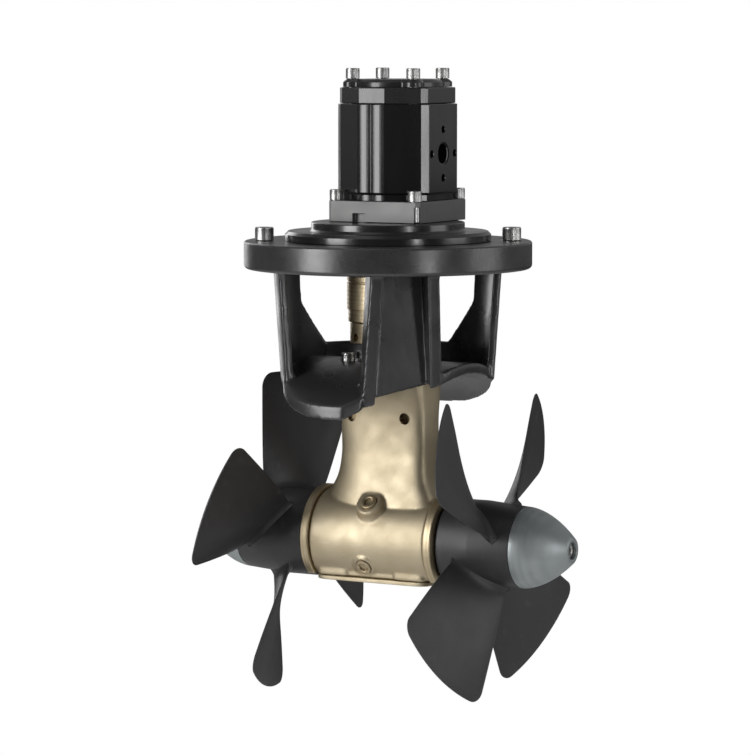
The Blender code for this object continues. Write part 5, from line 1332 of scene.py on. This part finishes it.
@dataclass
class GearLeg:
    """The bronze leg: strut, hub, foot and filler boss in one casting, with its plugs,
    gasket, sump cover and the two bearing carriers."""

    sections: tuple[Triple, ...] = (
        (22.5, 60.3, 32.4), (42.75, 58.6, 29.7), (57.6, 51.3, 25.65), (79.0, 47.5, 21.0),
        (100.0, 47.5, 21.0), (118.0, 47.5, 21.3), (146.0, 47.5, 26.5), (175.0, 47.5, 27.5),
    )
    squareness: Pair = (7.0, 2.6)
    top_radius: float = 157.4
    hub_radius: float = 45.0
    hub_half: float = 62.0
    spigot: float = 26.0
    foot_half: Pair = (60.5, 34.0)
    foot_top: float = -18.0
    pad_half: Pair = (18.5, 36.0)
    pad_x: float = 40.5
    pad_top: float = -25.0
    boss_radius: float = 13.6
    boss_reach: float = 53.0
    boss_tilt: float = 45.0
    plug_radius: float = 8.0
    drain_x: float = -5.0
    drain_tilt: float = 122.0
    screw_hole: float = 5.5
    screw_x: float = 29.3
    screw_level: float = 117.0
    screw_depth: float = 8.0
    carrier_radius: float = 47.5
    carrier_width: float = 9.0
    carrier_bore: float = 15.0
    voxel: float = 1.15
    smoothing: int = 6
    spigot_foot: float = 140.0
    strut_face: float = -21.0
    drill_end: float = 80.0
    gasket_half: Pair = (47.5, 31.0)
    gasket_thickness: float = 2.0
    sump_half: Pair = (61.0, 36.0)
    clearance: float = 0.3

    def strut(self) -> Shell:
        """Superellipse rings whose halves flow through the sections. Their right side has
        squarer corners than their left. Points above the tunnel's inner surface come down
        to it."""
        levels, half_x, half_y = zip(*self.sections)
        level = np.linspace(levels[0], levels[-1], 120)
        right, left = (superellipse(1.0, 1.0, power, 160)(0.0) for power in self.squareness)
        shape = np.where(right[:, :1] > 0.0, right, left)
        x = flowing(levels, half_x, level)[:, None] * shape[:, 0]
        y = flowing(levels, half_y, level)[:, None] * shape[:, 1]
        z = np.minimum(level[:, None], np.sqrt(self.top_radius ** 2 - y ** 2))
        return Shell.tube(spots(x, y, z))

    def tilted(self, shell: Shell, degrees: float, x: float = 0.0) -> Shell:
        """A shell made along +Z, swung about X towards the viewer and shifted along X."""
        return shell.turned(swing(degrees, "X")).moved(x)

    def casting(self) -> Object:
        """All the leg's shells fused to one skin, then its holes."""
        low, face, wide = foot("gear_leg"), self.hub_radius + 1.0, self.boss_radius + 5.0
        hub = rounded(oblong(0.0, self.hub_radius, -self.hub_half, self.hub_half, 2.0))
        hub_shell = revolve(hub, 128).turned(along_x()).cut_off(low)
        base = stack(superellipse(*self.foot_half, 9.0, 120), eased_block(low, self.foot_top, 1.5))
        pad = stack(superellipse(*self.pad_half, 8.0, 96), eased_block(low, self.pad_top, 2.0))
        boss = rounded([
            (0.0, 20.0), (wide, 20.0), (wide, 38.0, 3.0), (self.boss_radius, 46.0, 4.0),
            (self.boss_radius, self.boss_reach, 2.0), (0.0, self.boss_reach),
        ])
        seat = rounded([
            (0.0, 30.0), (self.plug_radius + 4.0, 30.0), (self.plug_radius + 3.0, face, 1.0),
            (0.0, face),
        ])
        shells = [
            self.strut(), hub_shell, base, *(pad.moved(sign * self.pad_x) for sign in (-1, 1)),
            self.tilted(revolve(boss, 64), self.boss_tilt),
            bar(self.spigot, self.spigot_foot, top("gear_leg"), 96),
            self.tilted(revolve(seat, 48), self.drain_tilt, self.drain_x),
        ]
        leg = cast("gear_leg_casting", make("leg", shells), self.voxel, self.smoothing)
        point = [(0.0, -1.8), (self.screw_hole, 0.0), (self.screw_hole, 40.0), (0.0, 40.0)]
        drill = revolve(np.array(point), 48).turned(swing(90.0, "X"))
        drill = drill.moved(y=self.strut_face + self.screw_depth, z=self.screw_level)
        sink = self.plug_radius + 0.5
        filler = bar(sink, self.boss_reach - 1.4, self.drill_end)
        drain = bar(sink, self.hub_radius - 0.6, self.drill_end)
        return shade(carve(leg, [
            *(drill.moved(sign * self.screw_x) for sign in (-1, 1)),
            self.tilted(filler, self.boss_tilt), self.tilted(drain, self.drain_tilt, self.drain_x),
        ]), 42.0)

    def plug(self, node: str, reach: float, tilt: float, x: float) -> None:
        """A socket plug standing a little proud of its seat."""
        head = CapScrew(self.plug_radius - 1.0, 3.0, self.plug_radius, 4.6, knurl_depth=0.0)
        shell = self.tilted(head.shell().moved(z=reach - 2.6), tilt, x)
        piece(node, TURNED_BRONZE, [shell], sharp=30.0, even=False)

    def carrier(self, side: Side) -> None:
        """The turned end flange of the hub, cut off level with the foot."""
        node = f"{side.prefix}_bearing_carrier"
        bore, spigot, radius = self.carrier_bore, self.hub_radius - 8.0, self.carrier_radius
        face = self.hub_half + self.clearance
        inside, end = face - 12.0, face + self.carrier_width
        corners = [
            (bore, inside), (spigot, inside, 0.5), (spigot, face), (radius, face, 1.2),
            (radius, end - 1.0, 1.5), (radius - 4.0, end, 0.6), (bore, end, 0.5),
        ]
        shell = revolve(rounded(corners, True), 160, True).turned(along_x(side)).cut_off(foot(node))
        piece(node, TURNED_BRONZE, [shell], sharp=35.0)

    def build(self) -> None:
        """Makes the casting and everything bolted to it."""
        fit(self.casting(), Body.FRAME, BRONZE, "gear_leg")
        self.plug("filler_plug", self.boss_reach, self.boss_tilt, 0.0)
        self.plug("drain_plug", self.hub_radius + 0.6, self.drain_tilt, self.drain_x)
        plan = superellipse(*self.gasket_half, 3.2, 120)(0.0)
        low = self.top_radius + self.clearance
        gasket = curved_plate(plan, low, low + self.gasket_thickness, 24)
        piece("saddle_gasket", RUBBER, [gasket], even=False)
        node = "sump_cover"
        plan = superellipse(*self.sump_half, 9.0, 160)
        piece(node, BRONZE, [stack(plan, eased_block(foot(node), top(node), 1.0))])
        for side in Side:
            self.carrier(side)


# Propellers


@dataclass
class Propeller:
    """One propeller with its four fan blades, its zinc nose and the nose's screw."""

    side: Side
    azimuth: float
    face: float = 72.3
    end: float = 147.3
    inner_radius: float = 41.8
    outer_radius: float = 38.5
    station: float = 111.5
    tip: float = 153.4
    pitch: float = 258.0
    chords: Pair = (52.0, 128.0)
    thicknesses: Pair = (9.0, 3.0)
    edge: float = 0.9
    fillet: float = 5.5
    corner: float = 13.0
    nose_end: float = 196.6
    nose_tip: float = 12.0
    recess: float = 8.2
    recess_depth: float = 9.0
    columns: int = 60
    rows: int = 44
    bore: float = 13.0
    root_share: float = 0.86
    tip_half: float = 0.35

    def blade(self, azimuth: float) -> Shell:
        """A blade as two faces over (across the chord, out along the radius).

        The mean surface is a helix: the pitch angle is atan(pitch / 2 pi radius), and a
        place along the chord moves round by its cosine and ahead by its sine. Half the
        thickness falls with (1 - u^2)^0.6 to the edges and with the radius, quarter
        circles round the tip's corners, and near the hub both grow by a round fillet.
        """
        turn_u = np.linspace(-0.5 * math.pi, 0.5 * math.pi, self.columns)[:, None]
        u = np.sin(turn_u)
        share = np.sin(np.linspace(0.0, 0.5 * math.pi, self.rows))[None, :]
        root = self.root_share * self.outer_radius
        start = 1.0 - 2.0 * self.corner / self.chords[1]
        bend = np.clip((np.abs(u) - start) / (1.0 - start), 0.0, 1.0)
        edge = self.tip - self.corner * (1.0 - np.sqrt(1.0 - bend ** 2))
        radius = root + (edge - root) * share
        spread = (radius - root) / (self.tip - root)
        chord = self.chords[0] + (self.chords[1] - self.chords[0]) * spread ** 0.95
        thick = self.thicknesses[0] + (self.thicknesses[1] - self.thicknesses[0]) * spread
        half = 0.5 * np.maximum(self.edge, thick * (1.0 - u ** 2) ** 0.6)
        half = np.maximum(half * np.sqrt(np.maximum(0.0, 1.0 - 0.85 * share ** 12)), self.tip_half)
        above = np.clip((radius - self.inner_radius + 1.0) / self.fillet, 0.0, 1.0)
        grow = 0.8 * self.fillet * (1.0 - np.sqrt(1.0 - (1.0 - above) ** 2))
        across = (0.5 * chord + grow) * u
        lean = np.arctan(self.pitch / (2.0 * math.pi * radius))
        turn = math.radians(azimuth) + across * np.cos(lean) / radius
        sign, cos, sin = self.side.value, np.cos(turn), np.sin(turn)
        ahead = sign * (self.station + across * np.sin(lean))
        point = spots(ahead, -radius * sin, radius * cos)
        rise = sign * np.sin(lean)
        normal = spots(np.cos(lean), rise * cos, rise * sin)
        offset = (half + grow)[..., None] * normal
        return Shell.slab(point + offset, point - offset)

    def hub(self) -> Shell:
        """The hub: straight, then tapered to the nose, turned about X."""
        taper = self.face + 0.45 * (self.end - self.face)
        corners = [
            (self.bore, self.face), (self.inner_radius, self.face, 2.5),
            (self.inner_radius, taper, 30.0), (self.outer_radius, self.end, 0.8),
            (self.bore, self.end),
        ]
        return revolve(rounded(corners, False, 8), 160).turned(along_x(self.side))

    def nose(self) -> Shell:
        """The nose: its radius falls with s^1.75 along it, to a lip and a screw recess."""
        start, fall = self.end + 0.3, self.outer_radius - self.nose_tip
        s = np.linspace(0.0, 0.985, 48)
        radius = self.nose_tip + fall * (1.0 - s ** 1.75)
        side_wall = spots(radius, start + (self.nose_end - start) * s)
        deep = self.nose_end - self.recess_depth
        mouth = rounded([
            side_wall[-1], (self.nose_tip - 0.6, self.nose_end, 0.8),
            (self.recess, self.nose_end, 0.8), (self.recess, deep), (0.0, deep),
        ])
        rim = self.outer_radius
        base = rounded([(0.0, start), (rim, start, 0.6), (rim - 0.05, start + 1.2)])
        profile = np.vstack([base[:-6], side_wall[2:-1], mouth])
        return revolve(profile, 160).turned(along_x(self.side))

    def build(self) -> None:
        """Makes the propeller, nose and screw on this side's body."""
        name, body = self.side.prefix, self.side.body
        blades = [self.blade(self.azimuth + 90.0 * i) for i in range(4)]
        piece(f"{name}_propeller", COMPOSITE, [self.hub(), *blades], body, 45.0, False)
        piece(f"{name}_nose_anode", ZINC, [self.nose()], body)
        screw = NOSE_SCREW.shell().moved(z=self.nose_end - self.recess_depth)
        screw = screw.turned(along_x(self.side))
        piece(f"{name}_anode_screw", STAINLESS, [screw], body, 30.0, False)


# Everything that stays as the CAD made it


def dress_cad() -> None:
    """Gives every CAD node the procedural finish of its own slot in the record."""
    for name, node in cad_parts.items():
        slots = node.material_slots
        slot = next((s.name.split(".")[0] for s in slots if s.material), "steel")
        finish = FINISHES.get(slot, STEEL)
        for place in slots:
            place.material = finish.material()
        log.info("%s keeps its CAD mesh in %s", name, finish.slot)


# Studio


@dataclass(frozen=True)
class Softbox:
    """An area lamp that faces the thruster."""

    name: str
    direction: Triple
    distance: float
    size: Pair
    power: float
    target: Triple = (0.0, 0.0, 0.15)

    def build(self) -> None:
        """Hangs the lamp along its direction from the target, turned to face it."""
        lamp = bpy.data.lights.new(self.name, "AREA")
        lamp.shape = "RECTANGLE"
        lamp.size, lamp.size_y = self.size
        lamp.energy = self.power
        obj = bpy.data.objects.new(self.name, lamp)
        bpy.context.scene.collection.objects.link(obj)
        way = Vector(self.direction).normalized()
        obj.location = Vector(self.target) + way * self.distance
        obj.rotation_euler = way.to_track_quat("Z", "Y").to_euler()


@dataclass
class Studio:
    """A white studio: pale floor, plain soft lamps and a long lens. The floor's sizes are
    in millimetres, the rest in metres."""

    yaw: float = 29.0
    elevation: float = 5.4
    focal_pixels: float = 3579.0
    distance: float = 3.4
    anchor: Triple = (0.0, 0.0, 0.284)
    shift_right: float = 0.011875
    shift_up: float = 0.13015
    image_height: float = 755.0
    floor_drop: float = 0.40
    fill: float = 0.30
    dark: float = 0.07
    behind: float = 0.30
    sensor: float = 36.0
    floor_half: float = 20000.0
    floor_thickness: float = 20.0
    floor_pale: Triple = (0.86, 0.86, 0.86)
    floor_dark: Triple = (0.05, 0.05, 0.05)
    lamps: tuple[Softbox, ...] = (
        Softbox("key", (-0.485, -0.875, 0.18), 2.2, (0.85, 1.7), 31.0),
        Softbox("strip", (0.864, -0.499, 0.08), 2.2, (0.22, 1.5), 8.0),
        Softbox("overhead", (-0.25, -0.35, 1.0), 2.2, (1.2, 1.2), 2.2),
        Softbox("back_left", (-0.79, 0.61, 0.20), 2.4, (0.6, 1.6), 6.5),
        Softbox("back_right", (0.94, 0.34, 0.15), 2.4, (1.3, 1.6), 10.0),
    )

    def camera(self) -> None:
        """The camera: yaw to the right of -Y, a little above, looking level with the view."""
        yaw, rise = math.radians(self.yaw), math.radians(self.elevation)
        flat = math.cos(rise)
        toward = Vector((math.sin(yaw) * flat, -math.cos(yaw) * flat, math.sin(rise)))
        right = Vector((math.cos(yaw), math.sin(yaw), 0.0))
        up = toward.cross(right)
        lens = bpy.data.cameras.new("camera")
        lens.sensor_width = self.sensor
        lens.lens = self.focal_pixels * self.sensor / self.image_height
        lens.clip_end = 100.0
        obj = bpy.data.objects.new("camera", lens)
        bpy.context.scene.collection.objects.link(obj)
        spot = Vector(self.anchor) + toward * self.distance
        spot = spot - right * self.shift_right - up * self.shift_up
        turn = Matrix((right, up, toward)).transposed().to_4x4()
        obj.matrix_world = Matrix.Translation(spot) @ turn
        bpy.context.scene.camera = obj

    def world(self) -> None:
        """White where the camera looks, and where gloss mirrors the backdrop behind."""
        world = bpy.data.worlds.new("studio")
        bpy.context.scene.world = world
        graph = Graph(world)
        spot = graph.add("ShaderNodeTexCoord", output="Generated")
        way = graph.add("ShaderNodeSeparateXYZ", {0: spot}, output="Y")
        behind = graph.span(way, -0.15, 0.45)
        path = graph.node("ShaderNodeLightPath")
        camera, gloss, clear = (
            graph.wire(path, f"Is {kind} Ray") for kind in ("Camera", "Glossy", "Transmission")
        )
        plain = gloss * (behind * (self.behind - self.dark) + self.dark - self.fill) + self.fill
        white = camera.maths("MAXIMUM", camera, clear)
        sockets = {"Color": (1.0, 1.0, 1.0, 1.0), "Strength": plain + white * (1.0 - plain)}
        graph.end(graph.add("ShaderNodeBackground", sockets), "World")

    def floor(self) -> None:
        """A wide pale floor that keeps the shadow and is white to the camera. Far out, glossy rays
        see it dark: a painted dark reflection.
        """
        level = (min(corner.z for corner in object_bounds()) - self.floor_drop) / MM
        half = self.floor_half
        sheet = np.array([[(x, y, level) for y in (-half, half)] for x in (-half, half)])
        plate = make("floor", [Shell.slab(sheet, sheet - (0.0, 0.0, self.floor_thickness))])
        material = bpy.data.materials.new("pale_floor")
        graph = Graph(material)
        path = graph.node("ShaderNodeLightPath")
        parts = graph.node("ShaderNodeSeparateXYZ", {0: graph.place()})
        out = graph.round(graph.wire(parts, "X"), graph.wire(parts, "Y"))
        # Painted reflection: far from the thruster the floor turns dark to glossy rays only.
        far_gloss_shade = graph.wire(path, "Is Glossy Ray") * graph.span(out, 0.8, 2.5, 0.0, 0.9)
        skin = graph.add("ShaderNodeBsdfPrincipled", {
            "Base Color": graph.blend(far_gloss_shade, self.floor_pale, self.floor_dark),
            "Roughness": graph.span(graph.noise(300.0), 0.3, 0.7, 0.75, 0.85),
            "Specular IOR Level": 0.1,
        })
        glow = graph.add("ShaderNodeEmission", {"Strength": 1.0})
        share = graph.wire(path, "Is Camera Ray") * graph.span(out, 0.4, 1.6, 0.55)
        graph.end(graph.add("ShaderNodeMixShader", {0: share, 1: skin, 2: glow}))
        plate.data.materials.append(material)
        plate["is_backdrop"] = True

    def build(self) -> None:
        """Sets the view, the world, the floor, the lamps and the camera."""
        bpy.context.scene.view_settings.view_transform = "Standard"
        self.world()
        self.floor()
        for lamp in self.lamps:
            lamp.build()
        self.camera()


def main() -> None:
    """Builds every sub-assembly in order, then the studio."""
    logging.basicConfig(level=logging.INFO, format="%(name)s %(message)s")
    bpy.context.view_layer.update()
    dress_cad()
    for assembly in (
        MotorBracket(), MotorMount(), GearMotor(), ShaftCoupling(), GearLeg(),
        Propeller(Side.RIGHT, 45.0), Propeller(Side.LEFT, 74.0), Studio(),
    ):
        assembly.build()


if __name__ == "__main__":
    main()
